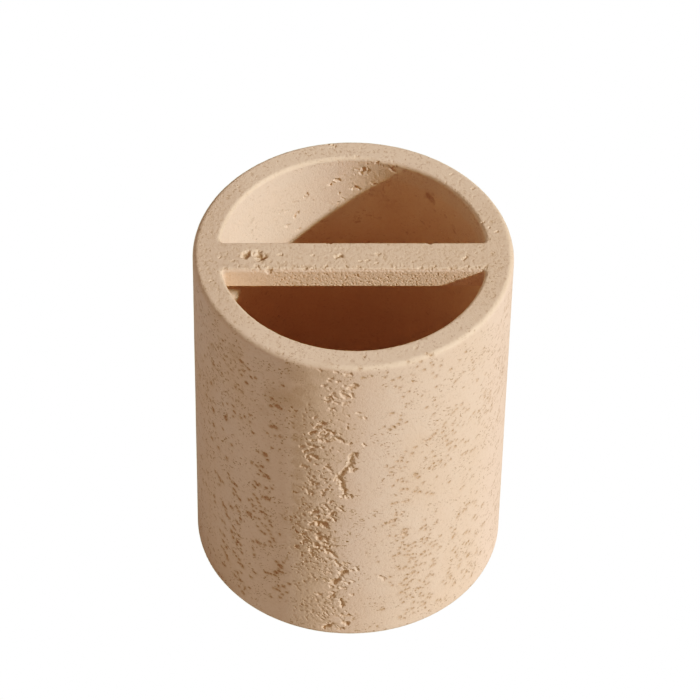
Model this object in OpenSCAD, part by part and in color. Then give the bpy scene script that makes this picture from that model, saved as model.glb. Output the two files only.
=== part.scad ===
// Toothbrush holder cut from one block of travertine, in millimetres.
//
// The stone is a plain thick-walled cylinder. It is bored from beneath, and the
// bore stops short of the rim, so a thin deck of stone is left there. Two
// D-shaped openings are then cut down through the deck. What is left between
// them is the divider bar: a straight bridge that is in one piece with the wall,
// flush with the rim, and open underneath. A stone disc, bedded in adhesive in a
// rebate, closes the foot of the bore, and four soft pads stand it off the shelf.
//
// Z is up, Z = 0 is the shelf, the axis of the cylinder is the Z axis, and the
// bar runs along X. The front of the holder faces -Y.

/* [Stone cylinder] */
// Outer diameter of the cylinder
body_d = 80; // [60:1:110]
// Height of the cylinder, without the pads it stands on
body_h = 101; // [60:1:160]
// Thickness of the cylinder's wall
wall_t = 6.7; // [5:0.1:12]
// Round on the rim's outer edge
rim_r = 1.4; // [0.4:0.1:2.5]
// Round on the cylinder's edge at the foot
toe_r = 0.8; // [0.2:0.1:1.6]

/* [Divider bar] */
// Width of the bar across the mouth
bar_w = 10; // [6:0.5:20]
// Height of the bar, from the rim down to the open cup below
bar_h = 6; // [4:0.5:14]
// How far the bar's middle lies in front of the cylinder's axis
bar_forward = 1.4; // [-4:0.1:4]

/* [D-shaped openings] */
// Round on the top edge, all the way round each opening
lip_r = 1; // [0.3:0.1:1.8]
// Radius of the upright corners, where the bar grows out of the wall
corner_r = 1.2; // [0.6:0.1:3]

/* [Base disc] */
// Thickness of the stone disc that closes the bore
disc_t = 7.7; // [4:0.1:15]
// Width of the ledge in the wall that the disc bears on
ledge_w = 2.4; // [1:0.1:3.5]
// Thickness of the adhesive over and around the disc
bond_t = 0.3; // [0.2:0.05:0.8]
// Bevel on the disc's lower edge, which leaves a fine groove around it
disc_bevel = 0.5; // [0.2:0.1:1]

/* [Pads] */
// Diameter of one pad
pad_d = 10; // [6:0.5:16]
// Thickness of one pad
pad_t = 1.6; // [1:0.1:4]
// Round on the pad's lower edge
pad_edge_r = 0.6; // [0.2:0.05:0.9]
// Depth of the shallow recess that keeps a pad in its place
recess_t = 0.6; // [0.2:0.05:0.8]
// Gap around a pad in its recess
recess_fit = 0.2; // [0.1:0.05:0.5]
// Distance from a pad's edge in to the disc's edge
pad_inset = 5.4; // [2:0.1:10]

/* [Hidden] */
// Number of pads under the disc
PAD_COUNT = 4;

// How far a cutting shape runs on past the face that it cuts
overrun = 1;
// How far the round in an opening's corner cuts into the bar and the wall, so that
// the faces cross instead of only touching
corner_bite = 0.02;
// Smoothness of every round form
round_steps = 128;
$fn = round_steps;

body_r = body_d / 2;
bore_r = body_r - wall_t;
rebate_r = bore_r + ledge_w;
disc_r = rebate_r - bond_t;
rebate_h = disc_t + bond_t;
pad_r = pad_d / 2;
// Radius of the circle that the pads' centres lie on
pad_circle_r = disc_r - pad_inset - pad_r;
// What the pads lift the stone by
stand_h = pad_t - recess_t;
rim_z = stand_h + body_h;
bar_bottom_z = rim_z - bar_h;
// Distance from the axis to the side of the bar, behind it and in front of it
bar_back_y = bar_w / 2 - bar_forward;
bar_front_y = bar_w / 2 + bar_forward;

// What a round of radius r takes off a square corner, with the round's centre at the origin
module corner_waste(r) {
    difference() {
        square(r + overrun);
        circle(r);
    }
}

// Half section of a cut that goes down from above the rim to low_z. It reaches
// out to reach, and opens by lip_r at the rim with a round edge.
module lipped_section(reach, low_z) {
    difference() {
        translate([0, low_z])
            square([reach + lip_r, rim_z + overrun - low_z]);
        translate([reach, low_z - overrun])
            square([lip_r + overrun, rim_z - lip_r - low_z + overrun]);
        translate([reach + lip_r, rim_z - lip_r])
            circle(lip_r);
    }
}

// Stone that stays in one corner of an opening whose bar side lies edge_y from the axis:
// the corner's wedge less a round that just bites into the wall and the bar
module corner_fillet(edge_y, low_z) {
    centre = [sqrt(pow(bore_r - corner_r, 2) - pow(edge_y + corner_r, 2)), edge_y + corner_r];
    // From the round's centre, the ways to the wall and to the bar
    wall_way = centre / norm(centre);
    bar_way = [0, -1];
    // Reach of the wedge along its sides, and to its far corner
    side = 2 * (corner_r + lip_r);
    far = side / (1 + wall_way * bar_way);
    translate([centre[0], centre[1], 0])
        difference() {
            translate([0, 0, low_z])
                linear_extrude(height = rim_z + 2 * overrun - low_z)
                    polygon([[0, 0], side * bar_way, far * (bar_way + wall_way), side * wall_way]);
            rotate_extrude()
                lipped_section(corner_r + corner_bite, low_z - overrun);
        }
}

// The space of one D-shaped opening, behind a bar side that lies edge_y from the axis
module d_opening(edge_y) {
    low_z = bar_bottom_z - overrun;
    difference() {
        intersection() {
            rotate_extrude()
                lipped_section(bore_r, low_z);
            translate([0, edge_y + body_d, 0])
                rotate([90, 0, -90])
                    linear_extrude(height = body_d, center = true)
                        lipped_section(body_d, low_z);
        }
        corner_fillet(edge_y, low_z - overrun);
        mirror([1, 0, 0])
            corner_fillet(edge_y, low_z - overrun);
    }
}

// The cylinder, its rim and its divider bar, all one stone
module stone_body() {
    color("#d9c2a4")
    difference() {
        translate([0, 0, stand_h])
            rotate_extrude()
                difference() {
                    square([body_r, body_h]);
                    translate([body_r - rim_r, body_h - rim_r])
                        corner_waste(rim_r);
                    translate([body_r - toe_r, toe_r])
                        mirror([0, 1])
                            corner_waste(toe_r);
                }
        // Bore from beneath, up to the underside of the bar
        translate([0, 0, stand_h - overrun])
            cylinder(r = bore_r, h = body_h - bar_h + overrun);
        // Rebate for the base disc
        translate([0, 0, stand_h - overrun])
            cylinder(r = rebate_r, h = rebate_h + overrun);
        d_opening(bar_back_y);
        mirror([0, 1, 0])
            d_opening(bar_front_y);
    }
}

// Stone disc that closes the foot of the bore, with a recess for each pad
module base_disc() {
    color("#cdb391")
    translate([0, 0, stand_h])
        difference() {
            rotate_extrude()
                polygon([
                    [0, 0],
                    [disc_r - disc_bevel, 0],
                    [disc_r, disc_bevel],
                    [disc_r, disc_t],
                    [0, disc_t]
                ]);
            for (i = [1:PAD_COUNT])
                at_pad(i)
                    translate([0, 0, -overrun])
                        cylinder(r = pad_r + recess_fit, h = recess_t + overrun);
        }
}

// Adhesive bed: a sleeve around the disc and a flat ring between it and the ledge
module bond_ring() {
    color("#b9a489")
    translate([0, 0, stand_h])
        rotate_extrude()
            polygon([
                [disc_r, disc_bevel],
                [rebate_r, disc_bevel],
                [rebate_r, rebate_h],
                [bore_r, rebate_h],
                [bore_r, disc_t],
                [disc_r, disc_t]
            ]);
}

// Place of pad number i, on a circle and turned clear of the bar's line
module at_pad(i) {
    rotate([0, 0, 360 / PAD_COUNT * (i - 1 / 2)])
        translate([pad_circle_r, 0, 0])
            children();
}

// Soft clear pad, with a rounded lower edge
module foot_pad(i) {
    color([0.86, 0.87, 0.86, 0.6])
    at_pad(i)
        rotate_extrude()
            difference() {
                square([pad_r, pad_t]);
                translate([pad_r - pad_edge_r, pad_edge_r])
                    mirror([0, 1])
                        corner_waste(pad_edge_r);
            }
}

stone_body();
base_disc();
bond_ring();
for (i = [1:PAD_COUNT])
    foot_pad(i);
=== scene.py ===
# %% [markdown]
# # A toothbrush holder cut from travertine
#
# The real object is a cup bored out of one block of travertine, with a bar of the same
# stone left across its mouth. The stone is warm cream to beige, honed but not filled, so
# its natural pores stay open: a band of pits and one crack-shaped cavity run down the
# front, and fine brown flecks follow the old beds of the rock.
#
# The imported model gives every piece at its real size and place. This lesson keeps those
# sizes. It carves the pores into a finer mesh of the same stone, gives each piece its
# finish, and sets up the camera and the light.

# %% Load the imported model
import math
from collections import namedtuple
from itertools import product

import bmesh
import bpy
import numpy as np
from mathutils import Matrix, Vector, noise
from mathutils.kdtree import KDTree


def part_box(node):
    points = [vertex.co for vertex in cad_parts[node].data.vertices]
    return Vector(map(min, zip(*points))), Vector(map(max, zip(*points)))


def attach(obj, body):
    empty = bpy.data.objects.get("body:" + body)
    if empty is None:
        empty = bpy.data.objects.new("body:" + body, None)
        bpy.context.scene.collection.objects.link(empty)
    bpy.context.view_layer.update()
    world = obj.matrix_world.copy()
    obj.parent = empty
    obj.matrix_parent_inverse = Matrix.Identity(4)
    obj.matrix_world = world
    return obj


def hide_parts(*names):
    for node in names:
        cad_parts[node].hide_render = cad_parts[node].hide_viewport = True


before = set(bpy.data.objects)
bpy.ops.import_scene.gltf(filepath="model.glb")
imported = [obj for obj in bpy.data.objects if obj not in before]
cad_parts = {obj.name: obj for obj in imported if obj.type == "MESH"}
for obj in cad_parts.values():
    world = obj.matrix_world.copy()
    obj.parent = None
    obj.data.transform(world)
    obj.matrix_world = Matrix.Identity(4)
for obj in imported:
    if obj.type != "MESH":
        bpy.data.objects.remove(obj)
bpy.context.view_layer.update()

# %% [markdown]
# ## Camera
#
# The photograph looks down at the cup from the front at about 47 degrees, through a long
# lens, so the sides of the cylinder stay almost parallel. A long lens could be imitated
# with an orthographic camera, but the sides do close in a little towards the foot, so a
# real lens far away is the truer choice. The cup stands left of where the lens points,
# which is what the lens shift is for.

# %% Camera
view_angle = math.radians(47.178)
view_tilt = math.radians(-0.5417)
view_distance = 1.07399
view_side = -0.019789
lens_length = 214.76
sensor_width = 36
photo_pixels = 700
lens_shift = 0.10914

aim_height = 0.051536
camera_place = Vector((
    view_side,
    -view_distance * math.cos(view_angle),
    aim_height + view_distance * math.sin(view_angle),
))
look_angle = view_angle + view_tilt
look_right = Vector((1, 0, 0))
look_ahead = Vector((0, math.cos(look_angle), -math.sin(look_angle)))
look_up = Vector((0, math.sin(look_angle), math.cos(look_angle)))

camera_data = bpy.data.cameras.new("photo_camera")
camera_data.lens = lens_length
camera_data.sensor_width = sensor_width
camera_data.shift_x = lens_shift
camera_data.clip_end = 20
camera = bpy.data.objects.new("photo_camera", camera_data)
bpy.context.collection.objects.link(camera)
turn = Matrix((look_right, look_up, -look_ahead)).transposed().to_4x4()
camera.matrix_world = Matrix.Translation(camera_place) @ turn
bpy.context.scene.camera = camera
print("the camera stands", round(camera_place.z, 3), "m above the shelf")

# %% [markdown]
# ## Light
#
# One hard light comes from low on the right, a little in front of the cup, and the rest
# of the room gives a soft fill. A sun lamp with a small angle gives the crisp shadow of
# the rim inside the cup. The fill is a world that only fades, from dim at the front right
# to brighter and bluer at the back left, because the wall turns paler again towards its
# left edge.
#
# The photograph is printed with deep, warm shadows. Painting the stone darker and redder
# inside would spoil it from every other side, so film curves on the whole picture do this:
# they lift the middle tones and hold the dark ones down, blue most and red least.

# %% Light and film curve
scene = bpy.context.scene
sun_turn = math.radians(-25)
sun_height = math.radians(26)
sun_data = bpy.data.lights.new("low_sun", "SUN")
sun_data.energy = math.pi
sun_data.color = (0.728, 0.702, 0.745)
sun_data.angle = math.radians(2.6)
sun = bpy.data.objects.new("low_sun", sun_data)
bpy.context.collection.objects.link(sun)
to_sun = Vector((
    math.cos(sun_turn) * math.cos(sun_height),
    math.sin(sun_turn) * math.cos(sun_height),
    math.sin(sun_height),
))
sun.rotation_euler = to_sun.to_track_quat("Z", "Y").to_euler()

white = (1, 1, 1, 1)
room = bpy.data.worlds.new("soft_room")
scene.world = room
room.use_nodes = True
room_tree = room.node_tree
fill = room_tree.nodes["Background"]
mean_fill = np.array((0.282, 0.195, 0.202))
fill_fade = np.array((0.22, 0.38, 0.5))
bright_side = (-0.8, 0.6, 0)
looked_at = room_tree.nodes.new("ShaderNodeTexCoord")
toward = room_tree.nodes.new("ShaderNodeVectorMath")
toward.operation = "DOT_PRODUCT"
toward.inputs[1].default_value = bright_side
room_tree.links.new(looked_at.outputs["Generated"], toward.inputs[0])
fade = room_tree.nodes.new("ShaderNodeMapRange")
fade.inputs["From Min"].default_value = -1
room_tree.links.new(toward.outputs["Value"], fade.inputs["Value"])
room_colour = room_tree.nodes.new("ShaderNodeMix")
room_colour.data_type = "RGBA"
room_colour.inputs[6].default_value = (*(mean_fill * (1 - fill_fade)), 1)
room_colour.inputs[7].default_value = (*(mean_fill * (1 + fill_fade)), 1)
room_tree.links.new(fade.outputs["Result"], room_colour.inputs["Factor"])
room_tree.links.new(room_colour.outputs[2], fill.inputs["Color"])
backdrop = room_tree.nodes.new("ShaderNodeBackground")
backdrop.inputs["Color"].default_value = white
room_ray = room_tree.nodes.new("ShaderNodeLightPath")
room_mix = room_tree.nodes.new("ShaderNodeMixShader")
room_tree.links.new(room_ray.outputs["Is Camera Ray"], room_mix.inputs["Fac"])
room_tree.links.new(fill.outputs["Background"], room_mix.inputs[1])
room_tree.links.new(backdrop.outputs["Background"], room_mix.inputs[2])
room_tree.links.new(room_mix.outputs["Shader"], room_tree.nodes["World Output"].inputs["Surface"])

film_inputs = (0.05, 0.15, 0.3, 0.5)
red_film = (0.05, 0.171, 0.351, 0.582)
green_film = (0.0405, 0.182, 0.382, 0.603)
blue_film = (0.029, 0.15, 0.344, 0.539)
scene.view_settings.view_transform = "Standard"
scene.view_settings.use_curve_mapping = True
film = scene.view_settings.curve_mapping
for curve, printed_tones in zip(film.curves, (red_film, green_film, blue_film)):
    for tone, printed in zip(film_inputs, printed_tones):
        curve.points.new(tone, printed)
film.update()
print("the light comes from", round(math.degrees(sun_height)), "degrees above the shelf")

# %% [markdown]
# ## Shelf
#
# The cup stands on a plain white shelf. Its bounce light matters, because the lower half
# of the stone is lit by it, but the photograph shows the shelf as pure white with no
# shadow. The light path tells the two apart: the camera sees plain white, and all other
# rays meet a pale matt surface. Seen from beneath, and for the short rays between it and
# the foot, the shelf is clear, so that the underside can be looked at.

# %% Shelf
floor_reach = 3
floor_z = -0.00002
foot_gap = 0.003
shelf_grey = (0.65, 0.65, 0.65, 1)
corners = [(-floor_reach, -floor_reach, floor_z), (floor_reach, -floor_reach, floor_z)]
corners += [(floor_reach, floor_reach, floor_z), (-floor_reach, floor_reach, floor_z)]
shelf_mesh = bpy.data.meshes.new("shelf")
shelf_mesh.from_pydata(corners, [], [(0, 1, 2, 3)])
shelf = bpy.data.objects.new("shelf", shelf_mesh)
bpy.context.collection.objects.link(shelf)

shelf_paint = bpy.data.materials.new("white_shelf")
shelf_paint.use_nodes = True
shelf_tree = shelf_paint.node_tree
shelf_tree.nodes.clear()
matt = shelf_tree.nodes.new("ShaderNodeBsdfDiffuse")
matt.inputs["Color"].default_value = shelf_grey
plain = shelf_tree.nodes.new("ShaderNodeEmission")
plain.inputs["Color"].default_value = white
shelf_ray = shelf_tree.nodes.new("ShaderNodeLightPath")
shelf_mix = shelf_tree.nodes.new("ShaderNodeMixShader")
shelf_end = shelf_tree.nodes.new("ShaderNodeOutputMaterial")
shelf_tree.links.new(shelf_ray.outputs["Is Camera Ray"], shelf_mix.inputs["Fac"])
shelf_tree.links.new(matt.outputs["BSDF"], shelf_mix.inputs[1])
shelf_tree.links.new(plain.outputs["Emission"], shelf_mix.inputs[2])
clear = shelf_tree.nodes.new("ShaderNodeBsdfTransparent")
short_ray = shelf_tree.nodes.new("ShaderNodeMath")
short_ray.operation = "LESS_THAN"
short_ray.inputs[1].default_value = foot_gap
shelf_tree.links.new(shelf_ray.outputs["Ray Length"], short_ray.inputs[0])
shelf_side = shelf_tree.nodes.new("ShaderNodeNewGeometry")
seen_through = shelf_tree.nodes.new("ShaderNodeMath")
seen_through.operation = "MAXIMUM"
shelf_tree.links.new(short_ray.outputs["Value"], seen_through.inputs[0])
shelf_tree.links.new(shelf_side.outputs["Backfacing"], seen_through.inputs[1])
clear_mix = shelf_tree.nodes.new("ShaderNodeMixShader")
shelf_tree.links.new(seen_through.outputs["Value"], clear_mix.inputs["Fac"])
shelf_tree.links.new(shelf_mix.outputs["Shader"], clear_mix.inputs[1])
shelf_tree.links.new(clear.outputs["BSDF"], clear_mix.inputs[2])
shelf_tree.links.new(clear_mix.outputs["Shader"], shelf_end.inputs["Surface"])
shelf_mesh.materials.append(shelf_paint)
print("the shelf reaches", floor_reach, "m each way")

# %% [markdown]
# ## The stone as a formula
#
# Pores have to be real hollows, because they catch the low light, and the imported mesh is
# far too coarse for hollows half a millimetre wide. A new mesh needs to lie exactly on
# the old surface, so this cell writes the stone as a signed distance: a formula that
# gives, for any point, how far it lies outside the stone, and a negative number inside
# it. Simple solids are joined by taking the larger or the smaller distance, and a small
# change to that rounds the edge between them.
#
# From here up to the finished mesh every length is in millimetres.

# %% Sizes of the stone
mm = 1000


def box_in_mm(node):
    low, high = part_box(node)
    return low * mm, high * mm


stone_low, stone_high = box_in_mm("stone_body")
disc_low, disc_high = box_in_mm("base_disc")
bond_low, bond_high = box_in_mm("bond_ring")

body_r = stone_high.x
foot_z = stone_low.z
rim_z = stone_high.z
rebate_r = bond_high.x
ledge_z = bond_high.z
wall = 6.7
bore_r = body_r - wall
bar_height = 6
bar_under_z = rim_z - bar_height
bar_back_y = 3.6
bar_front_y = -6.4
rim_round = 1.4
toe_round = 0.8
lip_round = 1
corner_round = 1.2
eased_edge = 0.25
sharpest = 0.02
middle_z = (foot_z + rim_z) / 2
print("the wall is", wall, "mm thick, and the bore", round(2 * bore_r, 1), "mm wide")


# %% Signed distance of the stone
def both(a, b, radius):
    """Distance to what lies in both of two solids, with the edge between them rounded."""
    edge = np.hypot(np.maximum(a + radius, 0), np.maximum(b + radius, 0))
    return np.minimum(-radius, np.maximum(a, b)) + edge


def either(a, b, radius):
    """Distance to what lies in at least one of two solids, with a fillet between them."""
    return -both(-a, -b, radius)


def stone_distance(points):
    """How far each point lies outside the stone, in mm."""
    x, y, z = points.T
    from_axis = np.hypot(x, y)
    block = both(from_axis - body_r, z - rim_z, rim_round)
    block = both(block, foot_z - z, toe_round)
    bar = both(np.maximum(y - bar_back_y, bar_front_y - y), bar_under_z - z, eased_edge)
    above_under = np.clip(z - bar_under_z + corner_round, sharpest, 1)
    ring = either(bore_r - from_axis, bar, corner_round * above_under)
    outside_rebate = np.minimum(rebate_r - from_axis, ledge_z - z)
    ring = both(ring, outside_rebate, eased_edge)
    return both(block, ring, np.where(z > middle_z, lip_round, eased_edge))


def outward(points, distance, step=0.02):
    """Direction in which the distance grows fastest: straight out of the surface."""
    slope = np.empty_like(points)
    for axis in range(3):
        nudge = np.zeros(3)
        nudge[axis] = step
        slope[:, axis] = distance(points + nudge) - distance(points - nudge)
    return slope / np.maximum(np.linalg.norm(slope, axis=1, keepdims=True), 1e-9)


def settle(points, distance, rounds=3):
    """Moves points straight onto the surface."""
    for _ in range(rounds):
        points = points - distance(points)[:, None] * outward(points, distance)
    return points


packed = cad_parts["stone_body"].data
packed_points = np.empty(len(packed.vertices) * 3)
packed.vertices.foreach_get("co", packed_points)
packed_points = packed_points.reshape(-1, 3) * mm
misfit = np.abs(stone_distance(packed_points))
print("the packed stone lies within", round(misfit.max(), 3), "mm of the formula")
print("on average it is off by", round(misfit.mean(), 4), "mm")

# %% [markdown]
# ## A fine, even mesh of the stone
#
# A pore can only be carved where the mesh has enough points. Cutting thousands of holes
# with booleans would be slow and would leave ragged faces. Moving the points of an even
# mesh inwards is fast and keeps the stone closed. The voxel remesh gives that even mesh,
# but it softens every edge, so each point is settled back onto the formula afterwards.

# %% Remesh the stone
voxel = 0.55


def mesh_points(mesh):
    """The mesh's points, one row each."""
    flat = np.empty(len(mesh.vertices) * 3)
    mesh.vertices.foreach_get("co", flat)
    return flat.reshape(-1, 3)


def set_points(mesh, points):
    mesh.vertices.foreach_set("co", points.ravel())
    mesh.update()


def even_mesh(name, node, size):
    """A closed mesh in mm with faces of one size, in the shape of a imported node."""
    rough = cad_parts[node].data.copy()
    set_points(rough, mesh_points(rough) * mm)
    holder = bpy.data.objects.new(name, rough)
    bpy.context.collection.objects.link(holder)
    remesh = holder.modifiers.new("even", "REMESH")
    remesh.mode = "VOXEL"
    remesh.voxel_size = size
    remesh.use_smooth_shade = True
    seen = holder.evaluated_get(bpy.context.evaluated_depsgraph_get())
    mesh = bpy.data.meshes.new_from_object(seen)
    bpy.data.objects.remove(holder)
    bpy.data.meshes.remove(rough)
    mesh.name = name
    return mesh


stone_mesh = even_mesh("carved_stone", "stone_body", voxel)
set_points(stone_mesh, settle(mesh_points(stone_mesh), stone_distance))
print("the even mesh has", len(stone_mesh.polygons), "faces")

# %% [markdown]
# ## Where the pores are
#
# Travertine is laid down in beds, and its pores follow them. The clearest pores of the
# real cup were marked on the photograph, as short strokes in pixels: from one end of the
# hollow to the other, and its width. A ray from the camera carries each end onto the
# stone, so a mark becomes a hollow at its true place and size. A drawing of each pore's
# outline would be closer still, but a stroke is enough, because the carving makes every
# outline ragged.

# %% From a pixel to the stone
Pore = namedtuple("Pore", "start end radius depth stain")
pores = []
dark_share = 0.65
ray_steps = 80
lens_pixels = lens_length / sensor_width * photo_pixels
centre_x = photo_pixels / 2 - lens_shift * photo_pixels
centre_y = photo_pixels / 2


def seen_at(pixels):
    """Points of the smooth stone, in mm, that lie behind the given pixels, and their distance."""
    pixels = np.asarray(pixels, float)
    across = (pixels[:, 0] - centre_x) / lens_pixels
    down = (pixels[:, 1] - centre_y) / lens_pixels
    rays = np.array(look_ahead) + np.outer(across, look_right) - np.outer(down, look_up)
    rays /= np.linalg.norm(rays, axis=1, keepdims=True)
    eye = np.array(camera_place) * mm
    gone = np.full(len(pixels), (view_distance - 2 * aim_height) * mm)
    for _ in range(ray_steps):
        gone += stone_distance(eye + rays * gone[:, None])
    return eye + rays * gone[:, None], gone


def mark_pores(strokes, depth_share, stain, lit_side=0):
    """Adds one pore for each stroke (x, y, x, y, width) in pixels of the photograph.

    The strokes follow the dark side of each hollow. Its other side faces the light and is
    as pale as the stone, so the pore is widened by lit_side pixels to the left. A second
    pore, narrower and without depth, lays brown on the dark side: partly the pore's mineral
    and partly painted shade.
    """
    strokes = np.asarray(strokes, float)
    left = np.array([lit_side / 2, 0])
    starts, gone = seen_at(strokes[:, 0:2] - left)
    ends, _ = seen_at(strokes[:, 2:4] - left)
    dark_starts, _ = seen_at(strokes[:, 0:2])
    dark_ends, _ = seen_at(strokes[:, 2:4])
    pixel = gone / lens_pixels
    radii = (strokes[:, 4] + lit_side) / 2 * pixel
    dark_radii = dark_share * strokes[:, 4] / 2 * pixel
    for start, end, radius in zip(starts, ends, radii):
        pores.append(Pore(start, end, radius, depth_share * radius, 0))
    for start, end, radius in zip(dark_starts, dark_ends, dark_radii):
        pores.append(Pore(start, end, radius, 0, stain))


print("one pixel covers about", round(view_distance * mm / lens_pixels, 2), "mm of the stone")

# %% The crack-shaped cavity
crack = [
    (355.5, 454.5, 352, 460, 5),
    (352, 460, 350.5, 466, 5),
    (350.5, 466, 353.5, 469, 3.6),
    (353.5, 471.5, 356.5, 469.5, 3.6),
    (350.5, 466.5, 345, 471.5, 4.4),
    (345, 471.5, 341.5, 476, 4.6),
    (338.5, 479.5, 341.5, 478, 5.2),
    (340.5, 479.5, 343.5, 485, 4.8),
    (343.5, 485, 344.5, 491, 4.4),
    (344.5, 491, 347.5, 496.5, 3.8),
    (350.5, 496, 352.5, 497, 3),
    (343.5, 496.5, 344, 496, 2.8),
]
mark_pores(crack, 0.6, 0.5, lit_side=2.4)
print("the crack is made of", len(crack), "strokes")

# %% Pits of the front band
upper_pits = [
    (320, 369.5, 322, 371, 2.2), (335.5, 372, 338, 372.5, 2.4), (346.5, 375, 351, 374.5, 3.4),
    (331, 379, 333.5, 378.5, 2.4), (329, 381.5, 331, 381.5, 2), (338, 382, 341, 381.5, 2.6),
    (323.5, 386, 327, 385.5, 2.6), (344.5, 386, 345.5, 386, 2), (352, 388.5, 356, 386, 6),
    (330, 388.5, 331, 389.5, 2), (342, 391.5, 343, 391, 2.2), (331.5, 395, 335, 393.5, 2.4),
    (327, 398.5, 331.5, 398, 4.6), (327, 402, 330.5, 401, 2.8), (335, 396.5, 338.5, 398.5, 2),
    (343, 395, 348, 397.5, 4), (352, 394, 354.5, 397.5, 2.8), (335, 402.5, 338.5, 403, 2.8),
    (344, 404, 348.5, 403, 2.8), (330.5, 409.5, 334, 409, 3), (335.5, 410.5, 336.5, 410.5, 2),
    (357.5, 413.5, 360.5, 413, 2.6), (314.5, 418, 316.5, 417.5, 2.8), (365, 418, 366, 418.5, 2.4),
]
middle_pits = [
    (321.5, 424, 325, 423.5, 4.8), (317.5, 428, 321, 427, 3.6), (326.5, 430.5, 333, 433, 5.6),
    (321, 433, 325, 432, 3), (327, 435, 329, 434, 3), (311.5, 433.5, 317, 432, 4),
    (321, 436.5, 326, 436, 3), (335.5, 438, 340, 440, 4.8), (339.5, 439, 344.5, 442, 3.6),
    (329.5, 440.5, 334, 440, 3.6), (320, 440.5, 327.5, 441.5, 4.2), (311.5, 440.5, 316.5, 440.5, 3.2),
    (349, 444.5, 351.5, 443.5, 2.6), (364.5, 444.5, 366.5, 446.5, 2), (308, 444, 310, 444, 2.4),
    (301.5, 447, 304.5, 446.5, 2.6), (312.5, 447, 317.5, 447, 3.4), (322, 448, 324, 448, 2.4),
    (304.5, 451.5, 308, 450.5, 2.6), (311, 450.5, 313.5, 449.5, 3), (312, 456, 316.5, 457.5, 5),
    (307, 457, 309, 456, 2.8), (309, 460.5, 311, 460, 2.4), (302.5, 466.5, 307, 467, 3),
    (326, 467.5, 329.5, 467.5, 3.2), (330.5, 470.5, 332, 470.5, 2.2), (316, 464.5, 318, 464.5, 2.4),
]
lower_pits = [
    (311, 481, 313, 482, 2.6), (316.5, 485, 318.5, 484, 2.8), (323, 494, 325, 493.5, 2.8),
    (325.5, 490.5, 328, 490, 2.4), (309, 491, 312.5, 493, 3), (330.5, 502, 333, 502, 3),
    (326, 506, 330, 509.5, 3.4), (339.5, 508.5, 343, 510, 2.4), (312, 512.5, 317, 512, 5),
    (330.5, 515.5, 334, 514, 4), (333, 518, 336, 521, 2.4), (318, 517.5, 320, 516.5, 3),
    (318.5, 523.5, 326, 525.5, 7.6), (311, 524.5, 313.5, 523.5, 3.4), (326, 520.5, 328.5, 520.5, 2.4),
    (308, 530.5, 311, 531, 3), (303, 534.5, 306, 533.5, 3), (317, 534.5, 320, 533.5, 3.4),
    (318, 538.5, 322, 537.5, 5), (325, 538, 327, 538, 3), (302.5, 542, 307.5, 541, 4),
    (316, 543.5, 318, 547, 4.4), (322.5, 543.5, 328, 544, 3.4), (329.5, 547, 331, 546, 3),
    (333.5, 546.5, 337, 546, 2.8), (321, 547.5, 324, 547.5, 3.4), (311, 550, 316, 550, 3),
    (327, 551.5, 331.5, 552.5, 5.4), (333.5, 555, 337, 557.5, 3), (311.5, 553, 313.5, 555.5, 3.4),
]
foot_pits = [
    (317.5, 559, 319.5, 559, 2.6), (335.5, 561, 340, 565.5, 3.2), (348, 564, 350, 564, 2.4),
    (350, 570, 353, 570.5, 2.6), (342, 574, 346, 572, 6.2), (339.5, 578, 342, 576.5, 3),
    (329, 572.5, 331, 572, 2.2), (333.5, 582, 337, 580.5, 6.6), (344.5, 582, 349, 583.5, 3.2),
    (352, 581, 353.5, 581.5, 2.6), (342.5, 588, 345.5, 588.5, 2.6), (331.5, 587, 333.5, 587.5, 3),
    (318.5, 594, 321.5, 595, 2.6), (332, 592.5, 334.5, 592.5, 2.6), (330, 597.5, 335, 595.5, 3.2),
    (351.5, 595, 353.5, 595, 2.2), (341, 600, 343, 606, 4.2), (344, 616.5, 349, 616, 4.4),
    (344, 623.5, 348, 624, 6.4), (341.5, 629, 344, 628.5, 3.4), (324.5, 627, 329.5, 626.5, 5.6),
    (331.5, 624.5, 333.5, 624, 2.6), (357, 567.5, 358.5, 571, 1.8), (380.5, 576.5, 385.5, 579.5, 2.6),
]
mark_pores(upper_pits, 0.6, 0.25, lit_side=1.6)
for pits in (middle_pits, lower_pits, foot_pits):
    mark_pores(pits, 0.65, 0.5, lit_side=1.6)
print(len(pores) // 2, "strokes with the pits of the front band")

# %% Pits of the bar, the rim and the inside
bar_chips = [
    (246, 255.5, 247.5, 254, 7.5), (260, 255, 263, 257, 9.5), (270, 270.5, 271, 270, 5),
    (338, 256.5, 341, 255.5, 4.6), (305.5, 268, 306.5, 267.5, 3.4),
]
bar_pits = [
    (279, 255, 282, 254.5, 2.8), (328, 243, 331, 243, 3.4), (428, 243, 431.5, 243.5, 3.6),
    (312, 255.5, 313.5, 255, 2.2), (311, 269.5, 312, 269, 2), (377, 253.5, 380, 253.5, 2.4),
    (360.5, 261, 362, 261, 1.8), (366.5, 260.5, 369, 260, 1.8), (376, 263, 378, 262.5, 2.2),
    (420, 268, 422, 267.5, 2.4),
    (449.5, 267.5, 451.5, 268.5, 2.6), (463.5, 259, 467, 256.5, 2.6), (346, 278.5, 347, 278, 2),
    (232, 260.5, 234, 260, 1.8), (259, 268.5, 260, 268.5, 1.8), (220, 257, 221, 256.5, 1.8),
]
rim_pits = [
    (332, 144.5, 335, 146, 3), (327.5, 144, 329, 144, 2), (356, 156, 358, 155.5, 2.2),
    (211, 280.5, 213, 280, 1.8), (472, 188.5, 474, 188, 2.2), (481.5, 223, 484, 221.5, 2.4),
    (496, 232, 497.5, 231, 2.2), (489, 228, 490, 227, 1.8), (451, 174, 453, 173.5, 1.6),
]
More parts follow.
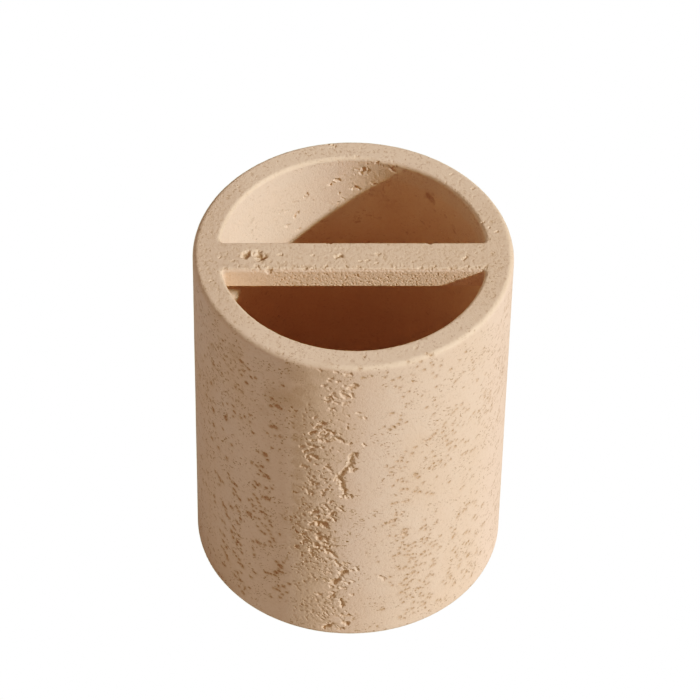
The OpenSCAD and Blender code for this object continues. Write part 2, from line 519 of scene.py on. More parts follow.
inner_pits = [
    (330.5, 185, 333, 183, 4), (336, 180.5, 339.5, 180, 4), (361.5, 173, 364, 170, 4.6),
    (367, 171.5, 369.5, 170.5, 2.6), (353, 190, 356.5, 187.5, 3.8), (359, 189.5, 360, 189, 2.2),
    (295, 216.5, 298.5, 212.5, 4), (297, 230.5, 299.5, 229, 3), (286, 226.5, 289, 225, 3),
    (280, 213.5, 282.5, 210.5, 2), (286, 211.5, 288.5, 210.5, 2), (305, 197, 307.5, 194.5, 3.4),
    (339.5, 193.5, 340, 193, 2.2), (342, 198, 345, 199.5, 2), (391, 169, 395.5, 171.5, 3.4),
    (376, 163.5, 378, 162.5, 2.4), (358.5, 170, 356, 169.5, 2), (373, 184.5, 375, 184, 2),
    (429, 197, 433, 198.5, 4), (427, 194, 428, 195, 2.4),
]
mark_pores(bar_chips, 0.45, 0.8, lit_side=3)
mark_pores(bar_pits, 0.75, 0.3, lit_side=0.8)
mark_pores(rim_pits, 0.75, 0.3, lit_side=0.6)
mark_pores(inner_pits, 0.75, 0.3, lit_side=0.6)

print(len(pores) // 2, "strokes were marked on the photograph")

# %% [markdown]
# ## Specks along the beds
#
# Away from the front, the pores are mere specks, filled with brown mineral. The beds of
# this block dip a little towards the front, so on the round wall the specks slant to the
# right on the left side and to the left on the right side. Each speck is marked by its
# place and width alone, and the bed gives its direction.

# %% The way the beds run
bed_dip = 0.5
chance = np.random.default_rng(27)


def wall_point(angle, height, radius):
    """A point on an upright wall; the angle runs from the front towards the right."""
    across = radius * np.sin(angle)
    return np.stack([across, -radius * np.cos(angle), np.broadcast_to(height, across.shape)], axis=-1)


def bed_direction(angle, slope):
    """The way a bed runs along the wall at this angle, with some slope of its own."""
    rise = bed_dip * np.sin(angle) + slope
    along = np.stack([np.cos(angle), np.sin(angle), rise], axis=-1)
    return along / np.linalg.norm(along, axis=-1, keepdims=True)


print("the beds dip by", bed_dip, "mm for each mm towards the front")


# %% Brown specks of the two sides
speck_growth = 1.18
speck_reach = 0.5
speck_browns = (0.7, 1.1)
halo_width = 1.8
halo_stain = 0.3


def mark_specks(specks, depth_share, stain):
    """Adds one short pore for each speck (x, y, width) in pixels, drawn out along its bed.

    A paler ring of brown without any depth lies around each.
    """
    specks = np.asarray(specks, float)
    middles, gone = seen_at(specks[:, 0:2])
    radii = speck_growth * specks[:, 2] / 2 * gone / lens_pixels
    along = bed_direction(np.arctan2(middles[:, 0], -middles[:, 1]), 0)
    reach = along * (radii * chance.uniform(0, speck_reach, len(specks)))[:, None]
    for middle, half, radius in zip(middles, reach, radii):
        brown = stain * chance.uniform(*speck_browns)
        start = middle - half
        end = middle + half
        pores.append(Pore(start, end, radius, depth_share * radius, min(brown, 1)))
        pores.append(Pore(start, end, halo_width * radius, 0, halo_stain * brown))


upper_left_specks = [
    (213, 410, 4), (225.5, 418, 5), (226.5, 415.5, 3), (213.5, 424.5, 3.6), (222.5, 429, 2.6),
    (212, 438.5, 3), (218.5, 448, 4), (231.5, 445, 3.2), (271.5, 426.5, 3.5), (275, 427, 4),
    (264.5, 454.5, 5), (267.5, 460, 3), (277.5, 406.5, 5), (271.5, 398.5, 3), (271, 406, 3),
    (289, 411, 2.6), (295.5, 411, 3), (292, 407.5, 2.6), (283, 385.5, 3), (255.5, 378, 3),
    (251, 377.5, 2.4), (246.5, 383, 2.6), (235, 387, 2.4), (206.5, 395.5, 2.8), (210, 400, 2.8),
    (222.5, 404, 2.4), (227, 404, 2.4), (233, 406, 2.6), (234, 412, 2.6), (233, 416.5, 2.4),
    (241, 418, 2.8), (244.5, 417, 2.2), (249.5, 415, 2.4), (250, 422, 2.6), (253, 433, 2.8),
    (267, 433, 2.6), (275, 436, 2.6), (279.5, 436.5, 2.4), (272, 448, 2.6), (258, 452, 2.4),
    (251.5, 463, 3), (256.5, 466, 2.4), (261.5, 466.5, 3.4), (226.5, 458, 2.6), (241.5, 375, 2.2),
    (213.5, 364.5, 3.2), (241, 361.5, 3.6), (248, 368.5, 2.6), (243.5, 370.5, 2.6), (222, 374, 2.4),
    (200, 376, 2.2), (211, 383, 3.8), (207, 382.5, 2.2),
]
lower_left_specks = [
    (219, 477.5, 3.6), (220, 480, 3.4), (222.5, 482, 2.6), (217.5, 474, 2.6), (215.5, 472, 2.4),
    (219, 484.5, 2.4), (229.5, 478.5, 2.4), (228, 474, 2.2), (234.5, 484, 2.8), (236.5, 486, 2.4),
    (232, 482.5, 2.2), (206, 484, 2.6), (201.5, 489, 3), (207, 472, 2.4), (261.5, 472, 3),
    (260, 470.5, 2.8), (264, 476, 3.4), (266.5, 475.5, 3.6), (268.5, 478, 3), (258.5, 474.5, 2.2),
    (255.5, 482, 2.8), (257.5, 485, 3), (254.5, 487, 2.8), (259.5, 484, 2.4), (266, 488, 3),
    (272, 488.5, 2.4), (234, 489.5, 2.8), (233.5, 493.5, 2.8), (237, 496, 3), (239.5, 499.5, 3),
    (235.5, 492, 2.4), (214, 496.5, 2.6), (215, 502, 2.2), (222.5, 502.5, 2.8), (224, 506, 4),
    (226, 508.5, 3.4), (225.5, 511, 2.4), (227, 515.5, 4), (229, 518, 3), (222, 520.5, 2.6),
    (224.5, 523, 2.4), (231, 507, 2.8), (236.5, 507, 2.4), (238.5, 511, 3), (240.5, 519, 2.6),
    (236, 521, 2.6), (237.5, 523.5, 2.8), (233, 526.5, 2.4), (265.5, 497.5, 4.4), (268, 499, 3.4),
    (262.5, 497, 2.6), (254, 495, 2.6), (256.5, 498.5, 2.8), (252, 500, 2.4), (249, 500, 2.4),
    (258.5, 502.5, 2.8), (252.5, 505, 2.6), (256, 508, 2.4), (260.5, 506.5, 2.6), (253.5, 511, 2.8),
    (248.5, 513.5, 4.4), (251, 516.5, 2.8), (261, 511.5, 2.8), (263.5, 512.5, 2.6),
    (265.5, 514.5, 2.6), (255, 517.5, 2.4), (259, 519, 2.4), (264.5, 518.5, 2.2), (269.5, 521, 2.4),
    (271, 525.5, 2.6), (262, 523.5, 2.2), (265.5, 526, 2.4), (257.5, 526.5, 2.4),
    (268.5, 530.5, 2.6), (264.5, 533.5, 3), (261.5, 531.5, 2.4), (270.5, 534.5, 2.6),
    (272.5, 538.5, 2.6), (274, 541, 2.4), (270, 542, 2.4), (279.5, 534.5, 2.6), (220.5, 531, 2.6),
    (224, 535.5, 2.8), (231.5, 531.5, 3), (233, 537.5, 3), (234.5, 529, 2.6), (239, 536, 2.6),
    (237.5, 541.5, 3), (240.5, 545, 2.6), (236, 543.5, 2.6), (223, 541, 2.8), (226.5, 547.5, 2.6),
    (223.5, 549, 2.6), (221.5, 546.5, 2.4), (257.5, 542, 4), (260, 543.5, 2.8), (253, 541.5, 2.4),
    (264.5, 545, 2.6), (271.5, 546, 2.4), (233.5, 552, 2.6), (241.5, 552.5, 2.4),
    (226.5, 555.5, 3.4), (227.5, 559, 3), (225, 552.5, 2.4), (236, 556, 2.6), (239, 559.5, 2.6),
    (241, 564.5, 3.2), (242.5, 566.5, 2.6), (238.5, 563, 2.4), (224.5, 565, 2.8),
    (222.5, 563.5, 2.4), (254.5, 555.5, 3), (253, 549.5, 2.2), (276.5, 561.5, 3.2),
    (279.5, 565.5, 3.6), (281.5, 568, 3), (278.5, 569, 2.4), (283.5, 562.5, 2.4), (276, 572.5, 3.2),
    (279, 571.5, 2.8), (282, 572.5, 2.4), (275, 575.5, 2.8), (268, 573, 2.8), (265.5, 572.5, 2.4),
    (270.5, 574, 2.4), (255, 573, 3), (251, 577, 2.6), (237, 572, 2.6), (235, 576, 2.6),
    (241, 572.5, 2.4), (240, 580, 2.8), (242.5, 582, 2.6), (239, 586.5, 2.8), (245, 588, 2.6),
    (243, 593, 3.2), (249.5, 588, 2.4), (278.5, 586, 2.8), (277, 589.5, 3), (279.5, 591, 2.4),
    (273.5, 588, 2.4), (283.5, 586.5, 3), (289, 584, 3), (282.5, 594.5, 2.6), (286.5, 592.5, 2.2),
    (280, 597.5, 2.6), (271, 597, 2.2), (296, 492.5, 2.8), (293, 491.5, 2.6), (291, 520, 3),
    (295, 524, 2.8), (299, 526, 2.6), (297, 532, 2.8), (285, 519, 2.4), (295, 517, 2.4),
    (295.5, 547, 2.8), (297.5, 548.5, 2.4),
]
upper_right_specks = [
    (391.5, 413.5, 3), (389.5, 430, 3), (393, 427, 4), (398, 424.5, 3.4), (400.5, 420, 3),
    (400.5, 416, 2.2), (406.5, 422.5, 2.6), (383.5, 427, 2.6), (395, 387, 2.8), (400, 388, 2.4),
    (408.5, 392, 2.6), (403, 397, 2.6), (409, 404, 2.6), (422, 396, 2.2), (413.5, 381.5, 2.4),
    (436, 387.5, 2.8), (427, 407.5, 2.6), (436.5, 406.5, 2.4), (433.5, 414.5, 2.2), (426, 441, 3.4),
    (430, 439, 2.8), (432, 436.5, 3), (435, 434, 3.2), (437, 430.5, 3), (442.5, 432.5, 3),
    (443, 427, 2.4), (445, 423.5, 2.8), (445.5, 428, 2.6), (445.5, 436.5, 3), (447, 440.5, 2.8),
    (447.5, 445, 3), (451, 443, 3), (449.5, 449, 2.4), (455, 447, 3.4), (457, 440, 2.8),
    (453, 430.5, 2.6), (455, 433, 2.6), (452.5, 424.5, 2.6), (458, 425, 2.2), (463, 425, 2.4),
    (462, 404, 3), (463.5, 409, 2.4), (466, 411, 2.6), (468.5, 409.5, 2.4), (456, 405.5, 2.4),
    (453.5, 412.5, 2.8), (456.5, 409.5, 2.6), (474, 413, 3), (479, 411, 2.6), (470.5, 417.5, 2.4),
    (485, 392, 3), (484.5, 396, 2.6), (490.5, 392, 3), (489.5, 400.5, 3), (462.5, 440.5, 2.8),
    (465.5, 442.5, 3), (468.5, 441, 2.4), (472, 450.5, 3), (475, 448, 2.6), (463.5, 454, 3),
    (467, 452, 2.6), (415.5, 447.5, 3.2), (412, 454, 2.8), (405.5, 452, 2.6), (401.5, 458.5, 4.2),
    (401, 461.5, 3), (397, 461.5, 2.4), (407, 462.5, 2.6), (386, 466, 2.8), (392.5, 468, 2.4),
    (400, 469, 2.6), (404.5, 467.5, 2.4), (432.5, 452, 2.4), (434, 457, 2.6), (433.5, 463.5, 3),
    (434, 467.5, 3), (437, 461.5, 2.6), (441, 461, 3), (445, 465, 3.2), (447.5, 456, 2.8),
    (449, 451, 2.4), (450.5, 459.5, 2.4), (429, 468.5, 2.6), (390.5, 472.5, 2.6),
    (392.5, 475.5, 2.4), (415.5, 475, 3.4), (418.5, 477.5, 3), (397.5, 480.5, 3), (401.5, 479, 2.8),
    (402, 482, 2.6), (406.5, 482, 2.4), (423, 483, 2.6), (393, 486, 2.4), (402, 490, 3.2),
    (407, 489, 3.2), (417, 487.5, 2.4), (415, 491.5, 2.4), (419.5, 492, 2.8), (427, 493.5, 2.4),
    (431, 494, 2.6), (433.5, 494, 2.6), (449.5, 482, 2.6), (460.5, 489.5, 2.6), (463.5, 486.5, 3),
    (470, 469.5, 2.6), (437, 477, 2.2), (427, 353.5, 3), (431, 355, 4), (432.5, 353.5, 2.4),
    (421, 362, 3), (417, 367, 2.8), (424.5, 370, 3), (431, 363, 2.4), (433, 365.5, 2.8),
    (433, 373, 2.8), (435.5, 377, 3.4), (441, 366, 2.6), (442, 361, 2.4), (408, 361.5, 2.4),
    (451, 369.5, 2.4), (363, 378, 3), (371, 376, 2.6), (387, 373, 2.4), (384.5, 377.5, 2.6),
    (392.5, 380.5, 2.6), (399, 378, 2.8), (413, 382, 2.6), (364, 356.5, 2.8), (360, 369, 2.4),
    (455, 382, 2.4), (457, 379.5, 2.4), (466, 351.5, 2.6), (472, 360, 2.4), (460, 360.5, 2.4),
    (474, 370, 2.6), (463, 373, 2.4), (478, 380, 2.6), (486, 374, 2.6), (484, 363, 2.4),
]
lower_right_specks = [
    (404, 502, 3), (407.5, 501, 3), (392, 504, 2.6), (396, 503, 3), (400.5, 515, 3),
    (403, 512.5, 2.8), (396, 513, 2.4), (395.5, 516, 2.8), (393, 521, 4), (391, 521.5, 2.8),
    (395, 519.5, 3), (389.5, 523, 3), (393.5, 526, 2.4), (385, 523.5, 2.4), (382, 526, 2.2),
    (407, 529.5, 2.8), (404, 530, 2.8), (404.5, 534, 5), (401.5, 534.5, 3.4), (406.5, 535.5, 3),
    (403, 538, 2.4), (389.5, 536, 2.6), (395.5, 536.5, 2.4), (396, 541, 2.4), (402.5, 543, 2.8),
    (404, 545.5, 3), (408.5, 545.5, 3.2), (399.5, 548, 2.8), (404, 549.5, 2.4), (414, 543, 2.8),
    (415, 546.5, 3), (411.5, 548, 2.4), (408.5, 551.5, 3), (409.5, 555, 2.8), (407, 555.5, 2.6),
    (403.5, 555.5, 2.4), (398.5, 554, 3.2), (394, 556, 2.4), (409.5, 559.5, 3), (412, 559, 2.8),
    (409, 562, 2.8), (415, 558, 2.8), (416, 561.5, 2.4), (413, 554, 2.6), (421, 555, 2.6),
    (424, 552, 2.6), (425.5, 556, 2.2), (428, 550.5, 2.4), (430, 554, 2.4), (420.5, 564.5, 2.6),
    (425, 563.5, 2.4), (416, 566, 2.8), (412.5, 568, 2.6), (404.5, 567.5, 3), (403, 569, 2.8),
    (399, 569.5, 2.8), (397.5, 567, 2.4), (408.5, 568.5, 2.2), (413, 573, 3), (414, 571.5, 2.6),
    (411, 573, 2.4), (418, 573, 2.4), (406, 575, 2.6), (390, 577, 2.8), (389.5, 583, 3),
    (392, 585.5, 2.4), (400.5, 584, 3), (403, 586, 3), (406.5, 585.5, 3), (408.5, 588.5, 3),
    (405, 590, 2.6), (410, 582, 3), (411.5, 580.5, 2.8), (406, 579, 2.6), (403.5, 580.5, 2.4),
    (419.5, 581, 3), (424, 582, 3.6), (425, 585, 3), (419, 588.5, 3.2), (416.5, 589, 2.8),
    (422, 588.5, 2.8), (428.5, 583.5, 3), (401, 592.5, 3.4), (404.5, 593.5, 3), (409.5, 595.5, 3),
    (406.5, 597, 2.6), (412.5, 597.5, 2.4), (420, 593.5, 2.6), (422, 596.5, 2.8), (428.5, 594, 2.8),
    (432, 594.5, 2.4), (427, 598, 2.8), (430, 597.5, 2.4), (403, 602.5, 2.6), (413.5, 602.5, 3),
    (417.5, 603, 2.6), (424, 604, 3), (422, 602, 2.4), (425, 608, 2.4), (412.5, 608.5, 2.8),
    (407, 610, 2.4), (413, 613, 2.6), (405.5, 613.5, 2.4), (400, 617.5, 2.6), (404, 618.5, 2.4),
    (383, 609.5, 3.4), (437, 600.5, 2.4), (440, 600, 2.6), (445, 599.5, 2.4), (436.5, 523, 3),
    (437.5, 520.5, 2.4), (435.5, 512, 2.4), (424.5, 520, 2.6), (425, 526, 3), (420.5, 530, 2.6),
    (421.5, 528, 2.4), (425.5, 529.5, 2.6), (430.5, 530, 2.4), (426.5, 539, 3), (422, 540, 2.6),
    (429.5, 534.5, 2.6), (430.5, 544, 2.8), (424.5, 543.5, 2.4), (433.5, 546, 3),
    (436.5, 544.5, 2.4), (435, 541, 2.2), (440.5, 536, 2.6), (440.5, 547, 2.6), (453, 537.5, 4),
    (454, 535.5, 3), (451, 528, 2.4), (454.5, 530, 2.4), (455, 547, 2.6), (452.5, 550.5, 2.4),
    (456.5, 556, 3), (455.5, 552, 2.4), (459.5, 565, 3.4), (458.5, 568, 2.8), (460.5, 560, 2.6),
    (449.5, 568.5, 2.6), (450.5, 577, 3), (448, 573, 2.4), (467.5, 556, 3.6), (466, 553, 2.6),
    (469, 554.5, 2.6), (469, 564, 2.8), (468.5, 541.5, 2.8), (466.5, 543.5, 2.8), (464, 543, 2.4),
    (469.5, 544.5, 2.4), (472.5, 543, 2.4), (466.5, 532, 3), (464, 534, 2.6), (469.5, 531.5, 2.6),
    (476.5, 533, 3.6), (482.5, 525, 3), (484.5, 523, 2.4), (473, 518, 3), (475, 516.5, 2.8),
    (476.5, 519, 2.4), (459, 514, 2.8), (457.5, 517, 2.4), (464, 510.5, 2.8), (466, 509.5, 2.6),
    (467, 505, 2.8), (469, 503.5, 2.6), (472.5, 502, 2.8), (476, 506, 2.8), (475.5, 501.5, 2.4),
    (482, 505.5, 2.8), (483.5, 503.5, 2.6), (476.5, 552, 3.2), (477, 548.5, 2.6), (480.5, 553, 2.6),
    (471, 565, 2.4), (474, 569, 2.4), (471, 577, 3), (472, 574, 2.8), (466, 572.5, 2.8),
    (464, 576.5, 2.6), (461.5, 571.5, 2.6), (454.5, 583, 3.2), (452.5, 586, 2.6), (443, 581.5, 2.6),
    (445.5, 584, 2.2), (429, 575, 2.8), (427.5, 577, 2.6), (433, 575, 2.4), (434, 564.5, 3),
    (431.5, 566, 2.8), (434, 561.5, 2.8), (433, 559.5, 2.4),
]
mark_specks(upper_left_specks + lower_left_specks, 0.5, 0.95)
mark_specks(upper_right_specks + lower_right_specks, 0.5, 0.85)
print(len(pores), "marks with the specks and their paler rings")


# %% Soft iron stains and painted shade
def mark_stains(stains):
    """Adds a broad brown mark without any depth for each (x, y, width, strength) in pixels; it serves real
    stains and painted shade.
    """
    stains = np.asarray(stains, float)
    middles, gone = seen_at(stains[:, 0:2])
    for middle, width, strength in zip(middles, stains[:, 2] * gone / lens_pixels, stains[:, 3]):
        pores.append(Pore(middle, middle, width / 2, 0, strength))


# Mostly real iron stains; the spots at 298, 374 and 290, 400 are painted shade above the shaded strips.
stain_and_shade_spots = [
    (275, 398, 24, 0.3), (263, 410, 14, 0.15), (262, 465, 20, 0.1), (290, 520, 22, 0.12),
    (280, 568, 18, 0.12), (222, 414, 14, 0.1), (312, 455, 18, 0.3), (318, 528, 22, 0.3),
    (234, 352, 18, 0.2), (212, 350, 14, 0.25), (445, 440, 20, 0.12), (441, 462, 14, 0.12),
    (408, 556, 22, 0.1), (424, 588, 16, 0.15), (404, 535, 12, 0.2), (430, 197, 10, 0.6),
    (432, 201, 7, 0.5), (298, 374, 24, 0.3), (324, 372, 20, 0.2), (290, 400, 20, 0.35),
]
mark_stains(stain_and_shade_spots)
# Painted shade: three upright strips of brown darken the front wall where its lit side turns into shade.
shade_column_step = 12
for column, top, bottom, width, strength in (
    (299, 392, 560, 15, 0.42),
    (311, 388, 590, 15, 0.3),
    (303, 560, 622, 17, 0.16),
):
    mark_stains([(column, level, width, strength) for level in range(top, bottom, shade_column_step)])
marked = len(pores)
print(marked, "pores and stains were marked on the photograph")

# %% [markdown]
# ## Pores that no one would count
#
# Between the marked pits lie thousands of smaller ones, and the back, which the photograph
# doesn't show, has its own. They aren't spread evenly: they come in clumps, and the clumps
# follow upright bands of the block. Each band is a few real measures, and a seeded draw
# fills it, so every run gives the same stone.

# %% Bands of small pores on the outer wall
Band = namedtuple("Band", "angle half_angle low high clumps each spread length radius depth slope stain")
upright_share = 0.8
length_spread = 0.45
size_spread = 0.28
slope_spread = 0.22
depth_range = (0.6, 1.3)
stain_range = (0.4, 1.3)
clear_of_foot = 1.5
clear_of_rim = 2.5


def scatter_on_wall(band, radius):
    """Draws the pores of one band on the wall of the given radius."""
    turn = band.angle + band.half_angle * chance.uniform(-1, 1, band.clumps)
    height = chance.uniform(band.low, band.high, band.clumps)
    turn = np.repeat(np.radians(turn), band.each)
    height = np.repeat(height, band.each)
    count = len(turn)
    turn = turn + chance.normal(0, band.spread / radius, count)
    height = height + chance.normal(0, upright_share * band.spread, count)
    length = band.length * chance.lognormal(0, length_spread, count)
    size = band.radius * chance.lognormal(0, size_spread, count)
    along = bed_direction(turn, band.slope + chance.normal(0, slope_spread, count))
    middle = wall_point(turn, height, radius)
    starts = middle - along * length[:, None] / 2
    ends = middle + along * length[:, None] / 2
    kept = (height > foot_z + clear_of_foot) & (height < rim_z - clear_of_rim)
    for index in np.flatnonzero(kept):
        depth = band.depth * chance.uniform(*depth_range)
        stain = min(band.stain * chance.uniform(*stain_range), 1)
        pores.append(Pore(starts[index], ends[index], size[index], depth, stain))


front_bands = [
    Band(-6, 7, 84, 99, 8, 3, 2.2, 0.1, 0.22, 0.2, -0.5, 0.4),
    Band(-11, 8, 60, 84, 30, 3, 2, 0.1, 0.26, 0.24, -0.6, 0.45),
    Band(-13, 8, 28, 62, 76, 3, 1.9, 0.12, 0.28, 0.26, -0.7, 0.5),
    Band(-11, 8, 3, 30, 62, 3, 1.8, 0.3, 0.23, 0.2, -0.9, 0.4),
    Band(-3, 3, 3, 30, 6, 3, 1.5, 0.2, 0.26, 0.24, -0.5, 0.4),
]
left_bands = [
    Band(-26, 6, 6, 94, 24, 2, 2, 0.2, 0.16, 0.08, -0.1, 0.45),
    Band(-40, 9, 4, 97, 46, 2, 2, 0.25, 0.16, 0.08, -0.05, 0.52),
    Band(-57, 9, 4, 97, 56, 2, 2.2, 0.3, 0.17, 0.1, 0, 0.6),
    Band(-55, 12, 76, 99, 46, 3, 1.8, 0.35, 0.2, 0.12, 0, 0.75),
    Band(-75, 10, 4, 98, 110, 2, 2.4, 0.45, 0.2, 0.12, 0, 0.68),
]
right_bands = [
    Band(6, 8, 4, 97, 28, 2, 2.2, 0.15, 0.17, 0.1, 0, 0.6),
    Band(20, 8, 4, 97, 44, 2, 2.2, 0.15, 0.17, 0.1, 0, 0.6),
    Band(37, 9, 4, 97, 68, 2, 2, 0.2, 0.16, 0.1, 0, 0.6),
    Band(55, 9, 4, 98, 90, 2, 2, 0.3, 0.17, 0.1, 0, 0.75),
    Band(66, 9, 55, 98, 54, 3, 2, 0.5, 0.18, 0.1, 0, 0.95),
    Band(76, 10, 4, 98, 110, 3, 2.2, 0.5, 0.2, 0.12, 0, 1),
]
back_bands = [
    Band(104, 12, 8, 90, 46, 2, 2, 0.7, 0.21, 0.14, 0, 0.8),
    Band(128, 8, 5, 96, 52, 3, 2, 0.35, 0.26, 0.25, 0.3, 0.4),
    Band(148, 9, 10, 96, 24, 2, 2, 0.6, 0.21, 0.14, 0, 0.8),
    Band(173, 11, 6, 90, 52, 3, 2.2, 0.6, 0.21, 0.14, 0, 0.85),
    Band(-158, 8, 10, 98, 56, 3, 1.9, 0.35, 0.27, 0.27, 0.4, 0.4),
    Band(-130, 11, 6, 94, 40, 2, 2.2, 0.7, 0.21, 0.14, 0, 0.85),
    Band(-100, 11, 6, 96, 48, 2, 2.2, 0.8, 0.22, 0.14, 0, 0.9),
]
for band in front_bands + left_bands + right_bands + back_bands:
    scatter_on_wall(band, body_r)
print(len(pores), "pores with those of the outer wall")

# %% Small pores inside the cup
inner_bands = [
    Band(180, 24, 55, 98, 20, 2, 1.8, 0.4, 0.2, 0.16, 0, 0.4),
    Band(171, 11, 91, 99, 14, 3, 1.6, 0.5, 0.16, 0.1, 2.5, 0.3),
    Band(150, 26, 60, 98, 14, 2, 1.8, 0.4, 0.24, 0.2, 0, 0.4),
    Band(-120, 30, 50, 98, 24, 2, 2, 0.4, 0.19, 0.14, 0, 0.5),
    Band(0, 180, 12, 92, 80, 2, 2, 0.5, 0.24, 0.18, 0, 0.4),
]
for band in inner_bands:
    scatter_on_wall(band, bore_r)
print(len(pores), "pores with those inside the cup")


# %% Small pores on the flat tops and the sides of the bar
Face = namedtuple("Face", "low high count length radius depth stain")
thin = 1
face_length_spread = 0.4
face_size_spread = 0.3
face_depth_range = (0.5, 1.4)
face_stain_range = (0.3, 1.5)


def scatter_on_face(face):
    """Draws pores on an upright or level face; low and high are its corners."""
    middle = chance.uniform(face.low, face.high, (face.count, 3))
    along = chance.normal(0, 1, (face.count, 3)) * (np.asarray(face.high) - face.low > thin)
    along /= np.linalg.norm(along, axis=1, keepdims=True)
    half = face.length / 2 * chance.lognormal(0, face_length_spread, (face.count, 1)) * along
    size = face.radius * chance.lognormal(0, face_size_spread, face.count)
    for start, end, radius in zip(middle - half, middle + half, size):
        deep = face.depth * chance.uniform(*face_depth_range)
        brown = face.stain * chance.uniform(*face_stain_range)
        pores.append(Pore(start, end, radius, deep, brown))


rough_x = -20
side_top = rim_z - lip_round
edge_back_y = bar_front_y + 1.5 * lip_round
top_front_y = bar_front_y + lip_round
top_back_y = bar_back_y - lip_round
faces = [
    Face((-body_r, -body_r, rim_z), (body_r, body_r, rim_z), 1900, 0.1, 0.19, 0.12, 0.4),
    Face((-bore_r, bar_front_y, rim_z), (bore_r, edge_back_y, rim_z), 70, 0.4, 0.26, 0.18, 0.4),
    Face((rough_x, bar_front_y, bar_under_z), (bore_r, bar_front_y, side_top), 230, 0.1, 0.19, 0.16, 0.35),
    Face((-bore_r, bar_back_y, bar_under_z), (bore_r, bar_back_y, side_top), 200, 0.4, 0.2, 0.14, 0.2),
    Face((-bore_r, top_front_y, rim_z), (bore_r, top_back_y, rim_z), 240, 0.2, 0.25, 0.07, 0.2),
]
for face in faces:
    scatter_on_face(face)
print(len(pores), "pores with those of the flat faces")

# %% Chips along the inner lip
chip_count = 110
chip_angles = (50, 205)
chip_drop = (1, 2.2)
chip_radius = (0.12, 0.24)
chip_depth = 0.16
chip_stain = 0.2
lip_down = 0.2 * lip_round
lip_out = 0.7 * lip_round
chip_turn = np.radians(chance.uniform(*chip_angles, chip_count))
chip_top = wall_point(chip_turn, rim_z - lip_down, bore_r + lip_out)
chip_foot = wall_point(chip_turn, rim_z - lip_round * chance.uniform(*chip_drop, chip_count), bore_r)
for top, foot in zip(chip_top, chip_foot):
    pores.append(Pore(top, foot, chance.uniform(*chip_radius), chip_depth, chip_stain))
print(len(pores), "pores in all")

# %% [markdown]
# ## More points where the pores are
#
# Half a millimetre between points is plenty for plain wall and far too little for a pore
# of that width. Splitting every face would give millions of them, so only the faces near
# a pore are split: once for all pores, and once more for the deep ones and for those
# that were marked on the photograph. The rim and the bar are split as a whole, because
# their sharper edges need the points too.


# %% Split the faces near the pores
def face_centres(mesh):
    """The centres of the mesh's faces, one row each."""
    flat = np.empty(len(mesh.polygons) * 3)
    mesh.polygons.foreach_get("center", flat)
    return flat.reshape(-1, 3)


def faces_near(mesh, chosen, margin):
    """Marks the faces whose centre lies within the margin of a chosen pore."""
    tree = KDTree(len(mesh.polygons))
    for index, centre in enumerate(face_centres(mesh).tolist()):
        tree.insert(centre, index)
    tree.balance()
    near = np.zeros(len(mesh.polygons), bool)
    for pore in chosen:
        middle = (pore.start + pore.end) / 2
        reach = np.linalg.norm(pore.end - pore.start) / 2 + pore.radius + margin
        for _, index, _ in tree.find_range(middle, reach):
            near[index] = True
    return near


def split_faces(mesh, marked):
    """Splits each marked face into four. The edges stay in order, so every run splits alike."""
    work = bmesh.new()
    work.from_mesh(mesh)
    found = (edge for face, hit in zip(work.faces, marked.tolist()) if hit for edge in face.edges)
    edges = list(dict.fromkeys(found))
    bmesh.ops.subdivide_edges(work, edges=edges, cuts=1, use_grid_fill=True, use_single_edge=True)
    work.to_mesh(mesh)
    work.free()


def in_a_box(mesh, low, high):
    """Marks the faces whose centre lies between two corners."""
    centres = face_centres(mesh)
    return ((centres > low) & (centres < high)).all(axis=1)


carved_pores = [pore for pore in pores if pore.depth > 0]
around_pore = 0.5
around_deep_pore = 0.15
deep_share = 0.8
top_layer = 2.5
front_layer = 1.5
past = 1
near_top = in_a_box(stone_mesh, (-body_r, -body_r, rim_z - top_layer), (body_r, body_r, rim_z + past))
bar_corner = (-bore_r, bar_front_y - front_layer, bar_under_z - past)
near_bar = in_a_box(stone_mesh, bar_corner, (bore_r, bar_back_y + past, rim_z + past))
split_faces(stone_mesh, faces_near(stone_mesh, carved_pores, around_pore) | near_top | near_bar)
print("after the first split:", len(stone_mesh.polygons), "faces")
narrow = [pore for pore in pores[:marked] if pore.depth > 0]
narrow += [pore for pore in pores[marked:] if pore.depth > deep_share * pore.radius]
bar_face = in_a_box(stone_mesh, bar_corner, (bore_r, bar_front_y + front_layer, rim_z + past))
split_faces(stone_mesh, faces_near(stone_mesh, narrow, around_deep_pore) | bar_face)
print("after the second split:", len(stone_mesh.polygons), "faces")
surface = settle(mesh_points(stone_mesh), stone_distance, 2)
facing = outward(surface, stone_distance)

# %% [markdown]
# ## Carving
#
# Each pore is a capsule: all points within its radius of a short line. Points of the
# surface that lie inside a capsule move inwards, deepest in its middle. Where pores
# overlap the deeper one wins, which leaves the thin broken walls that real pits have
# between them. Capsules alone would look like pills, so the points are first shaken by
# noise before their distance is measured, and every outline comes out ragged. That noise
# would start from the clock, so it is given a seed, and every run gives the same stone.
#
# Two values are kept for the material: how deep each point was carved, and how much brown
# lies there: the mineral that the pores left, together with painted shade on the dark side
# of the marked hollows and in the shaded strips of the front wall.


# %% Carve the pores
shake_seed = 27
noise.seed_set(shake_seed)
fine_shake_size = 0.55
fine_shake_share = 0.7
fine_shake_limit = 0.4
broad_shake_size = 1.1
broad_shake_share = 1.2
broad_shake_start = 0.3
broad_shake_limit = 0.6
stain_reach = 1.6
search_share = 1.8
search_extra = 0.1


def shaken(points, size):
    """Smooth noise vectors that change over about this many mm."""
    return np.array([noise.noise_vector(point) for point in (points / size).tolist()])


def boxes_of(points, size):
    """The points' indices, sorted into cubes with sides of size mm."""
    cubes = np.floor(points / size).astype(int)
    order = np.lexsort(cubes.T)
    steps = np.flatnonzero(np.any(np.diff(cubes[order], axis=0), axis=1)) + 1
    groups = np.split(order, steps)
    return {tuple(cubes[group[0]]): group for group in groups}


